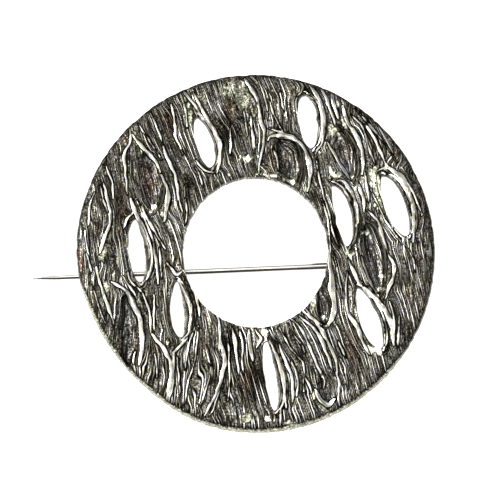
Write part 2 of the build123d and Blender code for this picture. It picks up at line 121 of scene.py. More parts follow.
Strand = namedtuple("Strand", "half_width height path")
strands = (
    Strand(0.30, 0.9, ((-10.6, 27.1), (-8.1, 22.5), (-6.1, 18.8), (-5.9, 15.9), (-6.5, 13.2))),
    Strand(0.30, 0.6, ((-12.2, 27.3), (-10.4, 25.0), (-8.8, 22.5))),
    Strand(0.36, 0.9, ((-20.8, 19.9), (-19.0, 17.5), (-16.9, 15.3), (-16.0, 13.4))),
    Strand(0.44, 0.8, ((-15.9, 12.9), (-15.0, 11.0), (-14.7, 9.5), (-15.0, 7.0), (-15.3, 5.0))),
    Strand(0.26, 0.6, ((-21.2, 20.9), (-21.2, 18.4), (-22.1, 16.7), (-21.9, 12.6), (-21.6, 9.5))),
    Strand(0.24, 0.6, ((-15.5, 18.0), (-14.9, 15.9), (-13.7, 13.4), (-13.3, 11.4), (-13.1, 8.5))),
    Strand(0.36, 0.9, ((-25.6, 11.6), (-25.0, 8.9), (-24.5, 6.4), (-24.6, 4.1), (-25.5, 1.7),
                       (-26.2, -0.4))),
    Strand(0.22, 0.5, ((-27.1, 9.9), (-27.9, 7.8), (-28.1, 4.3))),
    Strand(0.40, 0.9, ((-21.1, 8.9), (-19.6, 4.8), (-18.6, 1.9), (-17.7, -1.2))),
    Strand(0.26, 0.7, ((-19.2, 7.4), (-17.9, 5.0), (-16.5, 2.5), (-15.1, 0.2))),
    Strand(0.34, 0.8, ((-1.8, 29.5), (-0.6, 27.5), (0.6, 25.8))),
    Strand(0.38, 0.9, ((8.7, 29.1), (10.5, 26.4), (11.4, 23.7), (11.5, 20.9), (11.3, 18.4),
                       (10.3, 17.1))),
    Strand(0.28, 0.8, ((11.1, 28.3), (12.3, 25.4), (13.1, 22.9), (13.5, 21.3))),
    Strand(0.32, 0.9, ((12.9, 27.5), (13.3, 25.0), (14.1, 22.5))),
    Strand(0.40, 0.9, ((14.8, 24.8), (15.4, 22.3), (17.0, 19.6), (18.1, 16.7), (18.0, 13.0))),
    Strand(0.24, 0.7, ((16.2, 23.3), (18.0, 21.3), (19.0, 18.0), (20.2, 14.7))),
    Strand(0.24, 0.7, ((18.4, 21.9), (20.2, 19.0), (21.7, 15.3))),
    Strand(0.40, 0.9, ((20.7, 13.6), (22.3, 14.2), (24.1, 12.8), (25.8, 10.3), (26.6, 6.6),
                       (26.6, 1.4))),
    Strand(0.26, 0.6, ((20.7, 13.6), (21.1, 10.5), (21.5, 8.5), (23.1, 3.9))),
    Strand(0.34, 0.8, ((13.3, 11.8), (14.8, 11.8), (16.4, 9.5), (17.2, 6.4), (17.0, 4.0))),
    Strand(0.30, 0.7, ((19.0, 6.8), (20.7, 4.8), (21.5, 1.9), (22.5, -1.0))),
    Strand(0.48, 1.0, ((2.1, 18.8), (2.9, 19.6), (5.8, 19.4), (7.8, 18.0), (9.1, 15.1),
                       (9.1, 11.6), (8.7, 10.1))),
    Strand(0.22, 0.6, ((2.3, 20.9), (4.8, 20.0), (7.2, 18.6), (8.7, 16.7))),
    Strand(0.34, 0.8, ((-0.9, 28.1), (0.5, 25.4), (0.9, 22.5), (1.5, 20.4), (1.3, 17.8),
                       (0.7, 15.1), (0.7, 13.2))),
    Strand(0.26, 0.7, ((12.1, 18.8), (13.7, 15.9), (16.0, 12.0))),
    Strand(0.46, 1.0, ((-24.2, -5.3), (-21.8, -6.7), (-21.0, -8.2), (-19.6, -11.1),
                       (-19.0, -13.9), (-19.0, -16.6), (-19.4, -19.2))),
    Strand(0.22, 0.6, ((-19.0, -7.1), (-17.9, -9.8), (-17.5, -13.9))),
    Strand(0.28, 0.7, ((-26.8, -2.8), (-25.7, -6.5), (-24.6, -9.8), (-23.6, -12.7))),
    Strand(0.42, 1.0, ((-17.3, -14.1), (-15.1, -17.0), (-14.1, -19.3), (-14.1, -21.8), (-14.9, -25.3))),
    Strand(0.30, 0.8, ((-11.4, -14.8), (-13.3, -16.8), (-13.7, -17.7), (-13.9, -22.2), (-14.5, -25.5))),
    Strand(0.34, 0.9, ((-12.9, -5.1), (-11.0, -9.4), (-10.8, -11.1), (-11.2, -13.5))),
    Strand(0.28, 0.7, ((-12.2, -3.2), (-10.8, -5.5), (-9.6, -9.2), (-9.4, -11.1))),
    Strand(0.28, 0.7, ((-17.1, 0.5), (-16.5, -2.6), (-16.3, -5.7))),
    Strand(0.28, 0.7, ((-14.9, -2.0), (-13.3, -4.0), (-12.2, -3.4))),
    Strand(0.38, 0.9, ((-6.9, -9.8), (-6.1, -12.3), (-5.9, -15.2), (-5.1, -18.1), (-5.5, -20.1),
                       (-5.9, -22.2), (-6.7, -24.3), (-8.6, -27.8))),
    Strand(0.24, 0.6, ((-3.9, -12.9), (-3.3, -17.0), (-3.0, -19.7))),
    Strand(0.58, 1.0, ((12.0, 0.4), (12.6, -3.0), (12.8, -6.0), (13.1, -8.5), (12.8, -11.4),
                       (11.8, -12.8))),
    Strand(0.34, 0.8, ((8.0, -10.2), (10.5, -12.7), (12.3, -16.0), (13.5, -19.1), (13.6, -21.0))),
    Strand(0.28, 0.8, ((7.0, -10.9), (9.7, -13.1), (11.3, -15.8), (12.3, -18.7), (13.1, -21.0))),
    Strand(0.26, 0.7, ((5.2, -11.1), (7.2, -12.7), (8.7, -15.6), (9.7, -18.1), (11.1, -21.4))),
    Strand(0.30, 0.8, ((15.4, -1.3), (16.8, -4.4), (18.6, -7.1), (21.1, -8.8))),
    Strand(0.44, 0.9, ((19.2, -7.3), (21.5, -9.8), (22.7, -12.7), (23.1, -16.0))),
    Strand(0.34, 0.9, ((15.4, -9.0), (15.4, -10.6), (16.8, -12.7), (17.8, -15.2), (19.0, -17.5))),
    Strand(0.30, 0.8, ((22.3, -0.5), (23.3, -3.0), (22.5, -6.1), (21.7, -8.2))),
    Strand(0.26, 0.7, ((17.8, -0.9), (19.0, -4.7), (20.7, -7.8))),
    Strand(0.24, 0.6, ((13.7, -15.2), (15.0, -18.1))),
    Strand(0.34, 0.8, ((2.1, -14.8), (3.4, -17.7), (4.4, -21.0), (4.8, -23.8), (5.0, -26.5))),
    Strand(0.26, 0.7, ((3.9, -16.0), (5.6, -20.1), (6.2, -23.2), (6.0, -26.1))),
    Strand(0.40, 1.0, ((9.9, -23.3), (10.7, -25.0), (12.0, -26.0), (13.1, -25.0))),
    Strand(0.26, 0.8, ((13.3, -20.4), (13.9, -22.4), (13.7, -24.8), (13.9, -26.0))),
    Strand(0.17, 0.6, ((-14.3, 25.1), (-13.7, 22.5), (-13.5, 19.6), (-12.8, 17.9), (-12.2, 16.3))),
    Strand(0.14, 0.5, ((-18.1, 24.1), (-17.1, 22.0), (-16.2, 20.0), (-15.5, 17.7))),
    Strand(0.14, 0.5, ((-19.8, 21.8), (-18.5, 19.6), (-17.1, 17.5), (-15.7, 15.5))),
    Strand(0.20, 0.6, ((-12.8, 27.0), (-12.1, 25.1), (-11.7, 22.9), (-11.5, 21.0))),
    Strand(0.17, 0.7, ((-4.3, 21.8), (-4.2, 18.7), (-4.2, 16.3))),
    Strand(0.17, 0.7, ((-0.9, 23.5), (-0.6, 21.2), (-0.3, 19.2), (-0.0, 17.5))),
    Strand(0.14, 0.5, ((-2.0, 24.3), (-1.6, 21.8), (-1.3, 19.6))),
    Strand(0.20, 0.9, ((-10.0, 15.5), (-9.1, 14.2), (-8.1, 13.5), (-6.9, 13.4))),
    Strand(0.15, 0.6, ((-10.1, 14.4), (-9.4, 12.8), (-8.9, 10.9))),
    Strand(0.16, 0.6, ((-26.2, 11.3), (-25.7, 8.9), (-25.1, 7.2), (-24.6, 5.4))),
    Strand(0.14, 0.5, ((-25.4, 15.9), (-24.9, 13.6), (-24.1, 11.3), (-24.0, 8.9))),
    Strand(0.18, 0.8, ((-19.1, 8.0), (-18.6, 6.4), (-17.7, 4.5), (-16.5, 2.5))),
    Strand(0.17, 0.7, ((-20.2, 8.9), (-19.1, 6.4), (-17.9, 3.5), (-17.1, 1.2), (-17.1, -1.0))),
    Strand(0.15, 0.6, ((-13.4, 12.6), (-13.0, 10.5), (-12.8, 8.2), (-12.2, 6.2))),
    Strand(0.14, 0.5, ((-12.0, 11.3), (-11.8, 8.9), (-11.5, 6.4), (-11.8, 4.3))),
    Strand(0.20, 0.7, ((-22.2, 3.7), (-21.4, 5.6), (-20.2, 6.6))),
    Strand(0.14, 0.5, ((-28.7, 3.5), (-28.5, 1.4), (-27.9, -0.8))),
    Strand(0.14, 0.7, ((2.4, 26.0), (3.1, 23.5), (4.0, 21.4), (5.2, 19.6))),
    Strand(0.15, 0.6, ((3.0, 17.3), (3.6, 15.7), (3.9, 13.6))),
    Strand(0.20, 0.9, ((18.8, 21.6), (20.1, 19.4), (21.2, 16.9), (22.1, 14.6), (23.5, 13.8))),
    Strand(0.13, 0.5, ((17.0, 24.3), (18.6, 22.5), (20.3, 20.4), (22.1, 17.9), (23.9, 15.0))),
    Strand(0.16, 0.7, ((23.3, 14.0), (24.9, 12.6), (26.3, 10.5), (27.3, 8.2), (28.0, 6.0))),
    Strand(0.16, 0.7, ((19.4, 10.5), (20.7, 7.6), (22.1, 4.7), (23.7, 2.5), (24.7, 1.0))),
    Strand(0.17, 0.7, ((11.1, 8.7), (12.0, 6.0), (12.4, 3.5), (12.6, -1.0))),
    Strand(0.14, 0.6, ((10.2, 16.7), (10.6, 13.6), (11.1, 10.9), (11.8, 8.4), (12.6, 5.4),
                       (13.3, 2.3), (14.1, 0.6))),
    Strand(0.28, 0.9, ((17.5, 11.3), (17.7, 10.1), (18.3, 8.5), (18.3, 6.5))),
    Strand(0.24, 0.9, ((18.4, 13.4), (18.9, 10.5), (19.1, 8.2))),
    Strand(0.22, 0.8, ((12.5, 11.9), (13.7, 11.5), (15.0, 10.3), (16.2, 8.2))),
    Strand(0.14, 0.5, ((0.3, 29.9), (1.1, 27.8), (1.7, 25.8), (2.1, 23.9))),
    Strand(0.13, 0.5, ((4.2, 27.4), (4.5, 25.5), (5.0, 23.9))),
    Strand(0.17, 0.6, ((5.6, 29.9), (7.2, 29.3), (8.0, 28.2), (7.8, 27.2), (7.0, 26.4))),
    Strand(0.14, 0.5, ((-0.9, 22.3), (-0.5, 19.6), (-0.3, 16.7))),
    Strand(0.17, 0.8, ((-10.8, -4.4), (-9.8, -6.7), (-9.0, -8.6))),
    Strand(0.15, 0.7, ((-6.3, -12.7), (-6.0, -14.7), (-6.1, -16.8), (-5.4, -18.2))),
    Strand(0.17, 0.7, ((-3.9, -12.9), (-3.3, -15.2), (-3.3, -17.2), (-3.0, -19.3), (-2.8, -20.9))),
    Strand(0.18, 0.9, ((-2.7, -13.5), (-2.2, -16.0), (-2.3, -18.7), (-2.0, -20.9))),
    Strand(0.14, 0.5, ((-4.7, -13.9), (-4.5, -16.4), (-4.5, -19.1), (-4.3, -22.2), (-4.7, -25.2))),
    Strand(0.38, 0.6, ((-1.2, -13.4), (-1.0, -16.0), (-0.5, -18.6))),
    Strand(0.22, 0.9, ((-0.1, -13.3), (0.6, -14.3), (1.0, -15.0), (0.4, -15.9), (0.1, -16.4))),
    Strand(0.16, 0.7, ((-10.2, -12.9), (-10.6, -14.3), (-11.2, -16.0), (-11.6, -18.0), (-11.7, -20.1))),
    Strand(0.14, 0.6, ((-9.6, -12.7), (-9.8, -15.2), (-10.0, -17.6), (-10.6, -20.1), (-11.2, -22.0),
                       (-12.0, -26.4))),
    Strand(0.14, 0.6, ((-13.2, -17.8), (-13.0, -20.1), (-12.8, -21.7), (-12.7, -23.8), (-12.9, -25.9))),
    Strand(0.16, 0.7, ((-5.9, -23.4), (-6.7, -25.5), (-7.1, -26.9), (-7.9, -27.9))),
    Strand(0.15, 0.6, ((-7.4, -18.6), (-7.7, -21.3), (-8.3, -23.4), (-9.6, -27.2))),
    Strand(0.17, 0.7, ((-20.1, -17.0), (-20.4, -18.7), (-20.1, -20.3), (-19.8, -21.3))),
    Strand(0.14, 0.5, ((-16.9, -17.4), (-16.6, -19.3), (-16.5, -21.3))),
    Strand(0.17, 0.7, ((-22.2, -4.4), (-21.4, -5.7), (-20.6, -6.7), (-19.8, -8.1))),
    Strand(0.16, 0.7, ((-21.4, -3.6), (-21.0, -5.1), (-19.8, -6.3), (-18.9, -7.3))),
    Strand(0.13, 0.5, ((-28.5, -0.3), (-27.9, -2.0), (-27.5, -3.6))),
    Strand(0.13, 0.5, ((-27.3, -5.7), (-26.7, -8.1), (-26.1, -10.2), (-25.1, -12.3))),
    Strand(0.14, 0.5, ((-17.1, -7.3), (-16.9, -9.4), (-17.1, -11.6), (-16.9, -13.5))),
    Strand(0.15, 0.7, ((-16.1, 0.5), (-15.9, -2.0), (-15.7, -4.8))),
    Strand(0.16, 0.7, ((-18.5, 0.1), (-18.3, -2.0), (-17.9, -3.8), (-18.5, -5.1))),
    Strand(0.15, 0.7, ((2.1, -13.1), (3.1, -14.7), (4.0, -16.0))),
    Strand(0.15, 0.7, ((4.0, -12.9), (4.8, -14.7), (5.8, -16.6), (7.2, -18.0), (8.0, -19.3),
                       (8.0, -21.3), (8.0, -23.8))),
    Strand(0.24, 0.7, ((5.9, -18.6), (6.8, -20.7), (7.1, -22.7), (6.8, -24.5))),
    Strand(0.14, 0.6, ((5.4, -12.3), (6.4, -14.3), (7.6, -15.8), (8.2, -17.2))),
    Strand(0.15, 0.6, ((9.7, -18.7), (10.7, -20.1), (11.4, -21.7), (11.3, -23.2))),
    Strand(0.14, 0.6, ((8.2, -21.3), (8.9, -22.8), (9.3, -24.0))),
    Strand(0.16, 0.7, ((13.9, -18.0), (14.8, -19.7), (15.2, -21.7), (15.3, -23.4))),
    Strand(0.15, 0.7, ((15.4, -3.6), (15.2, -6.3), (15.2, -8.4), (15.4, -10.2), (16.6, -11.9))),
    Strand(0.18, 0.8, ((16.8, -5.7), (18.2, -6.3), (19.4, -7.3), (20.7, -8.4), (21.7, -10.2))),
    Strand(0.17, 0.8, ((22.5, -8.6), (23.1, -11.0), (23.2, -13.9), (23.1, -16.0))),
    Strand(0.14, 0.5, ((24.1, -11.0), (23.9, -13.9), (23.7, -16.4))),
    Strand(0.15, 0.7, ((8.2, -9.6), (9.7, -11.4), (11.3, -12.7), (12.3, -12.7))),
    Strand(0.13, 0.5, ((13.1, -0.1), (13.6, -2.6), (14.1, -5.3), (14.6, -8.1))),
    Strand(0.14, 0.6, ((4.1, -25.9), (4.1, -27.9), (4.0, -29.6))),
    Strand(0.14, 0.5, ((25.3, 0.5), (26.4, -1.3), (26.8, -3.6))),
)

# Smooth places without bark: pale patches and small bright beads. Their pale tone is a painted
# highlight, where a smooth slope or bead faces the light. shine is their tone, from 0 for black to 1
# for white, and lean turns their top to the left.

Patch = namedtuple("Patch", "x y half_width half_length lean shine")
highlit_patches = (
    Patch(-11.5, 23.9, 0.85, 1.90, 12.0, 0.70),
    Patch(-19.8, 18.4, 0.61, 1.55, 30.0, 0.72),
    Patch(-17.1, 7.1, 0.56, 0.78, 0.0, 1.0),
    Patch(-3.6, 28.0, 2.20, 1.50, 20.0, 0.62),
    Patch(-2.6, 25.6, 1.70, 2.30, 10.0, 0.50),
    Patch(-2.5, 16.0, 0.30, 0.78, 0.0, 1.0),
    Patch(-1.4, 15.6, 0.71, 0.68, 0.0, 1.0),
    Patch(-0.3, 23.3, 0.36, 0.51, 0.0, 1.0),
    Patch(-4.4, 12.8, 0.41, 0.36, 0.0, 1.0),
    Patch(-10.0, 26.0, 0.66, 1.94, 20.0, 1.0),
    Patch(-15.5, 6.2, 0.53, 1.03, 0.0, 0.7),
    Patch(13.7, 20.4, 1.02, 1.24, 10.0, 0.55),
    Patch(15.2, 21.8, 0.49, 1.24, 15.0, 0.66),
    Patch(16.6, 12.3, 0.76, 0.78, 0.0, 1.0),
    Patch(13.1, 13.2, 0.61, 0.88, 30.0, 0.95),
    Patch(14.1, 13.0, 0.61, 0.54, 0.0, 0.8),
    Patch(10.9, 16.7, 0.30, 0.31, 0.0, 0.95),
    Patch(5.6, 11.9, 1.52, 0.41, -30.0, 0.95),
    Patch(8.6, 10.5, 0.73, 0.62, 0.0, 0.75),
    Patch(13.9, 25.1, 0.51, 0.93, 10.0, 0.95),
    Patch(20.3, 12.0, 1.20, 1.80, 10.0, 0.66),
    Patch(20.7, 8.4, 0.75, 2.60, 15.0, 0.60),
    Patch(18.6, 3.1, 0.66, 0.31, 0.0, 0.95),
    Patch(3.1, 20.0, 0.81, 0.62, -30.0, 0.68),
    Patch(2.7, 12.8, 1.01, 0.31, 0.0, 0.9),
    Patch(0.7, 13.0, 1.02, 0.21, 0.0, 0.8),
    Patch(-25.1, -6.3, 0.53, 1.44, 8.0, 0.66),
    Patch(-25.8, -0.1, 0.61, 1.24, 0.0, 0.66),
    Patch(-18.1, -3.9, 0.51, 1.29, 0.0, 0.9),
    Patch(-12.1, -3.6, 0.76, 0.68, 0.0, 0.95),
    Patch(-14.7, -15.6, 0.36, 0.36, 0.0, 0.9),
    Patch(-1.2, -28.3, 0.81, 0.82, 0.0, 0.55),
    Patch(21.3, -4.4, 0.46, 0.46, 0.0, 1.0),
    Patch(21.0, -6.6, 0.86, 0.46, 0.0, 0.9),
    Patch(11.3, -11.2, 0.30, 0.41, 0.0, 1.0),
    Patch(6.4, -29.1, 1.52, 0.51, 0.0, 1.0),
    Patch(19.8, -16.9, 1.27, 0.78, 0.0, 0.95),
    Patch(9.9, -24.4, 0.41, 0.88, 10.0, 0.95),
    Patch(11.7, -25.7, 1.01, 0.61, -30.0, 1.0),
    Patch(9.7, -8.6, 0.45, 1.03, -15.0, 0.66),
    Patch(15.8, -0.5, 0.73, 0.74, 0.0, 0.66),
    Patch(2.1, -28.3, 0.76, 0.51, -20.0, 0.95),
    Patch(1.6, -13.9, 0.80, 0.50, -30.0, 0.75),
    Patch(17.0, 10.9, 0.55, 0.85, -20.0, 0.85),
)

# Brown stains, where the tarnish is thin, in the same way. strength is how brown each is, up to 1.

Stain = namedtuple("Stain", "x y half_width half_length lean strength")
stains = (
    Stain(-14.9, 22.3, 1.8, 2.9, 12.0, 0.6),
    Stain(-3.3, 29.9, 1.2, 0.4, 0.0, 0.9),
    Stain(-4.6, 23.5, 0.9, 1.4, 10.0, 1.0),
    Stain(-22.0, 19.0, 1.0, 0.8, 20.0, 0.8),
    Stain(-18.1, 11.5, 1.2, 3.3, 8.0, 0.8),
    Stain(-12.8, 19.6, 1.2, 2.3, 8.0, 0.5),
    Stain(-22.4, 6.6, 0.8, 1.6, 0.0, 0.7),
    Stain(-29.9, -0.4, 0.5, 0.8, 0.0, 1.0),
    Stain(-27.5, 6.8, 1.2, 2.1, 0.0, 0.4),
    Stain(4.2, 27.0, 3.3, 2.3, 10.0, 0.4),
    Stain(14.6, 17.1, 1.6, 2.3, 10.0, 0.5),
    Stain(23.1, 16.9, 0.8, 2.5, 30.0, 0.6),
    Stain(10.5, 10.5, 0.6, 3.3, 10.0, 0.3),
    Stain(-29.5, -2.0, 0.6, 1.9, 10.0, 1.0),
    Stain(-22.8, -15.2, 0.7, 1.0, 8.0, 0.8),
    Stain(-8.6, -16.0, 1.2, 2.5, 0.0, 0.6),
    Stain(-1.6, -21.7, 1.4, 2.7, 0.0, 0.7),
    Stain(-26.3, -9.4, 0.6, 1.2, 8.0, 0.5),
    Stain(-8.2, -10.2, 0.6, 1.2, 10.0, 0.5),
    Stain(16.0, -15.2, 1.2, 4.1, 8.0, 0.8),
    Stain(14.6, -2.8, 1.0, 2.5, 8.0, 0.5),
    Stain(25.5, -8.4, 1.2, 3.3, 0.0, 0.5),
    Stain(16.6, -24.0, 0.8, 0.5, 0.0, 1.0),
    Stain(28.0, -8.1, 0.5, 2.3, 0.0, 0.8),
    Stain(-0.5, -20.9, 0.6, 2.3, 0.0, 0.8),
    Stain(17.4, -21.3, 1.2, 1.9, 0.0, 0.4),
)

# Broad places where the ground is lighter or, below 0, darker than elsewhere, in the same way.
# amount is added to its tone.

Shade = namedtuple("Shade", "x y half_width half_length lean amount")
shades = (
    Shade(-14.5, 22.5, 3.0, 3.5, 10.0, -0.16),
    Shade(-23.5, 7.0, 3.0, 5.0, 0.0, -0.16),
    Shade(-17.5, 17.5, 3.0, 3.5, 0.0, -0.08),
    Shade(-5.0, 19.5, 2.4, 4.0, 5.0, -0.20),
    Shade(-4.0, -20.5, 5.0, 4.5, 0.0, -0.12),
    Shade(-18.5, -18.0, 3.5, 3.5, 0.0, -0.10),
    Shade(13.6, 3.6, 1.6, 2.8, 5.0, -0.36),
    Shade(15.0, -0.8, 1.6, 1.6, 0.0, 0.16),
    Shade(15.5, 15.0, 4.0, 5.0, 15.0, 0.12),
    Shade(18.3, 9.8, 2.4, 3.0, 10.0, 0.28),
    Shade(0.7, -14.3, 2.6, 2.0, 0.0, 0.44),
    Shade(0.0, -21.0, 2.2, 3.0, 0.0, -0.20),
    Shade(18.0, -10.3, 3.5, 4.0, 15.0, 0.22),
    Shade(9.0, -13.5, 3.0, 3.0, 0.0, 0.08),
    Shade(-17.5, -10.5, 2.0, 3.0, 0.0, -0.12),
    Shade(12.5, 9.5, 1.5, 3.0, 15.0, 0.20),
    Shade(-7.5, -12.5, 2.5, 2.5, 0.0, 0.14),
    Shade(12.5, 25.5, 3.5, 2.5, 30.0, 0.12),
    Shade(11.0, 18.5, 2.5, 3.0, 15.0, 0.12),
    Shade(-7.0, 25.5, 2.5, 2.5, 0.0, 0.12),
    Shade(-24.5, -1.5, 3.0, 4.0, 0.0, -0.08),
    Shade(-11.0, 11.0, 2.5, 2.5, 0.0, -0.24),
    Shade(-4.2, -15.2, 1.8, 2.5, 0.0, -0.36),
    Shade(-15.0, -4.0, 2.0, 2.5, 0.0, -0.10),
    Shade(14.5, -15.0, 2.5, 3.0, 0.0, -0.08),
)

# Rows of the bark's long crests: how far apart they are, how far each runs before it changes, how
# far it wanders to the side in shares of the pitch, how far it slants, how wide and how bright it
# is at the most, and the seed of its random values.

CrestRow = namedtuple("CrestRow", "pitch run wander slant half_width shine seed")
crest_rows = (
    CrestRow(0.36, 6.0, 0.8, -0.03, 0.045, 0.64, 11),
    CrestRow(0.58, 9.0, 1.0, 0.02, 0.065, 0.80, 21),
    CrestRow(0.98, 12.0, 1.3, 0.00, 0.085, 0.95, 31),
)

# The lines that run beside an opening or a dent: their distance from its edge, their half width
# and their strength

RimLine = namedtuple("RimLine", "distance half_width strength")
rim_lines = (
    RimLine(0.06, 0.05, 0.70),
    RimLine(0.50, 0.14, 0.80),
    RimLine(1.10, 0.07, 0.50),
)

# How the bark's grain bends over the ring: amounts in millimetres, and the powers of a place's x
# and y, both as shares of outer_radius, that each amount goes with.

GrainBend = namedtuple("GrainBend", "amount x_power y_power")
grain_bends = (
    GrainBend(11.0, 0, 1),
    GrainBend(2.4, 1, 1),
    GrainBend(1.7, 0, 2),
    GrainBend(-9.0, 2, 1),
    GrainBend(-6.5, 1, 2),
    GrainBend(-1.5, 0, 3),
    GrainBend(-1.8, 3, 1),
)

# Nothing on a casting is quite even. Each field gives the size of some uneven places, across and
# along the brooch in millimetres, and the seed of their random values.

UnevenField = namedtuple("UnevenField", "across along seed")
wobble_field = UnevenField(0.90, 1.30, 61)
break_field = UnevenField(0.80, 1.50, 67)
blotch_field = UnevenField(2.60, 5.00, 53)
pit_field = UnevenField(0.40, 0.55, 41)
streak_field = UnevenField(0.35, 2.00, 43)
wobble_reach = 0.20

# Between which two values a share changes something, from the hollows of a field to its hills

Span = namedtuple("Span", "low high")


def on_band(angle, across):
    """The point of the ring at an angle and a share of the way across its band."""
    radius = hole_radius + across * band_width
    return radius * cos(radians(angle)), radius * sin(radians(angle))


def outline_radius(x, y):
    """The radius of the ring's front edge in the direction of each point."""
    angle = np.degrees(np.arctan2(y, x)) % 360
    flat = flat_share * np.exp(-(np.abs((angle - flat_angle) / flat_half_width) ** flat_sharpness))
    return outer_radius * (1 + oval_share * np.sin(np.radians(angle)) ** 2 - flat)


def hole_edge_radius(x, y):
    """The distance of the middle hole's edge from the ring's middle, in each point's direction."""
    upward = np.sin(np.arctan2(y, x))
    return hole_radius * (1 + hole_oval_share * upward**2) - hole_drop * upward


def side_bow(share, widest_at):
    """How far a lens's side has bowed out at a share of its length, from 0 at its ends to 1."""
    return np.maximum(np.sin(pi * share ** (log(0.5) / log(widest_at))), 0.0) ** side_bluntness


def lens_place(lens, x, y):
    """Each point's place by a lens: its gap to the outline, negative inside, its offset right of
    the chord, its share of the length, and the width of that side there."""
    middle_x, middle_y = on_band(lens.angle, lens.across)
    length = lens.length * band_width
    lean_sin = sin(radians(lens.lean))
    lean_cos = cos(radians(lens.lean))
    down = (x - middle_x) * lean_sin - (y - middle_y) * lean_cos
    out = (x - middle_x) * lean_cos + (y - middle_y) * lean_sin
    share = np.clip(down / length + 0.5, 0.0, 1.0)
    left = lens.left * band_width * side_bow(share, lens.left_at)
    right = lens.right * band_width * side_bow(share, lens.right_at)
    width = np.where(out < 0, left, right)
    past_end = np.maximum(np.abs(down) - length / 2, 0.0)
    beside = np.abs(out) - width
    gap = np.where(past_end > 0, np.hypot(np.maximum(beside, 0.0), past_end), beside)
    return gap, out, share, width


def drawn_line(path, steps=5):
    """A smooth line through the points of a path, as an array of points."""
    points = np.array([path[0], *path, path[-1]])
    drawn = [points[1]]
    for before, start, end, after in zip(points, points[1:], points[2:], points[3:]):
        for step in range(1, steps + 1):
            part = step / steps
            bend = (2 * before - 5 * start + 4 * end - after) * part**2
            bend += (3 * start - before - 3 * end + after) * part**3
            drawn.append(start + ((end - before) * part + bend) / 2)
    return np.array(drawn)


def strand_place(line, x, y):
    """Each point's distance to a drawn line, its side of it, 1 to the right of a line that runs
    down and -1 to its left, and its share of the line's length."""
    steps = np.hypot(*(line[1:] - line[:-1]).T)
    length = steps.sum()
    nearest = np.full(x.shape, np.inf)
    side = np.ones(x.shape)
    share = np.zeros(x.shape)
    gone = 0.0
    for start, end, step in zip(line, line[1:], steps):
        way = (end - start) / step
        along = (x - start[0]) * way[0] + (y - start[1]) * way[1]
        across = (y - start[1]) * way[0] - (x - start[0]) * way[1]
        reached = np.clip(along, 0.0, step)
        distance = np.hypot(across, along - reached)
        closer = distance < nearest
        nearest = np.where(closer, distance, nearest)
        side = np.where(closer, np.sign(across), side)
        share = np.where(closer, (gone + reached) / length, share)
        gone += step
    return nearest, side, share


def smooth_step(share):
    """A share, kept between 0 and 1 and eased at both ends."""
    share = np.clip(share, 0.0, 1.0)
    return share * share * (3 - 2 * share)


def smooth_noise(x, y, seed):
    """Random smooth values from 0 to 1, with one hill or hollow to a unit of x and of y."""
    size = 256
    lattice = np.random.default_rng(seed).random((size, size))
    column = np.floor(x).astype(int)
    row = np.floor(y).astype(int)
    part_x = smooth_step(x - column)
    part_y = smooth_step(y - row)
    left, right = column % size, (column + 1) % size
    low, high = row % size, (row + 1) % size
    below = lattice[low, left] * (1 - part_x) + lattice[low, right] * part_x
    above = lattice[high, left] * (1 - part_x) + lattice[high, right] * part_x
    return below * (1 - part_y) + above * part_y


def uneven(field, x, y):
    """A field's random values at each point, from 0 to 1."""
    return smooth_noise(x / field.across, y / field.along, field.seed)


def within(span, share):
    """The value at a share of the way from a span's low value to its high one."""
    return span.low + (span.high - span.low) * share


def ellipse_place(spot, x, y):
    """How far each point is from the middle of a leaning ellipse, as a share of its reach."""
    lean_sin = sin(radians(spot.lean))
    lean_cos = cos(radians(spot.lean))
    across = (x - spot.x) * lean_cos + (y - spot.y) * lean_sin
    down = (x - spot.x) * lean_sin - (y - spot.y) * lean_cos
    return np.hypot(across / spot.half_width, down / spot.half_length)


def bent_grain(x, y):
    """Each point's place across the grain of the bark."""
    across, up = x / outer_radius, y / outer_radius
    grain = x.copy()
    for bend in grain_bends:
        grain += bend.amount * across**bend.x_power * up**bend.y_power
    return grain


def ridge_profile(distance, half_width):
    """The cross-section of a strand or rim, from 1 on its blunt crest to 0 past its soft flanks."""
    return np.exp(-((distance / (half_width + soft_flank)) ** 4))


def keep_nearer(front, here, gap, shine):
    """Notes the gap to a ridge, and its shine, at the points that it is the nearest ridge to."""
    nearer = gap < front["ridge_gap"][here]
    front["ridge_gap"][here] = np.where(nearer, gap, front["ridge_gap"][here])
    front["ridge_shine"][here] = np.where(nearer, shine, front["ridge_shine"][here])


# A strand thins and thickens along its way, and ends bluntly. The bark's grain is drawn along it.

straight_pull = 0.5
pull_reach = 3 * grain_reach
end_share = 0.02
end_bluntness = 0.35
strand_widths = Span(0.45, 1.15)
strand_shines = Span(0.48, 0.74)
strand_changes = Span(0.70, 1.32)


def lay_strands(front, x, y):
    """Raises the strands, and draws the grain along them."""
    straight = front["grain"]
    pulls = np.full(x.shape, straight_pull)
    pulled = straight * pulls
    for strand in strands:
        line = drawn_line(strand.path)
        low, high = line.min(axis=0) - pull_reach, line.max(axis=0) + pull_reach
        near = (x > low[0]) & (x < high[0]) & (y > low[1]) & (y < high[1])
        distance, side, share = strand_place(line, x[near] + front["wobble"][near], y[near])
        middle = line[len(line) // 2]
        nearest_vertex = np.argmin(np.hypot(x - middle[0], y - middle[1]))
        ends = np.sin(pi * np.clip(share, end_share, 1 - end_share))
        pull = np.exp(-((distance / grain_reach) ** 2)) * ends
        pulls[near] += pull
        pulled[near] += pull * (straight[nearest_vertex] + side * distance)

        taper = ends**end_bluntness
        breaks = front["breaks"][near]
        half_width = strand.half_width * taper * within(strand_widths, breaks)
        height = strand_height * strand.height * taper * ridge_profile(distance, half_width)
        front["raised"][near] = np.maximum(front["raised"][near], height)
        shine = within(strand_shines, strand.height) * within(strand_changes, breaks)
        keep_nearer(front, near, distance - half_width, shine)
    front["grain"] = pulled / pulls


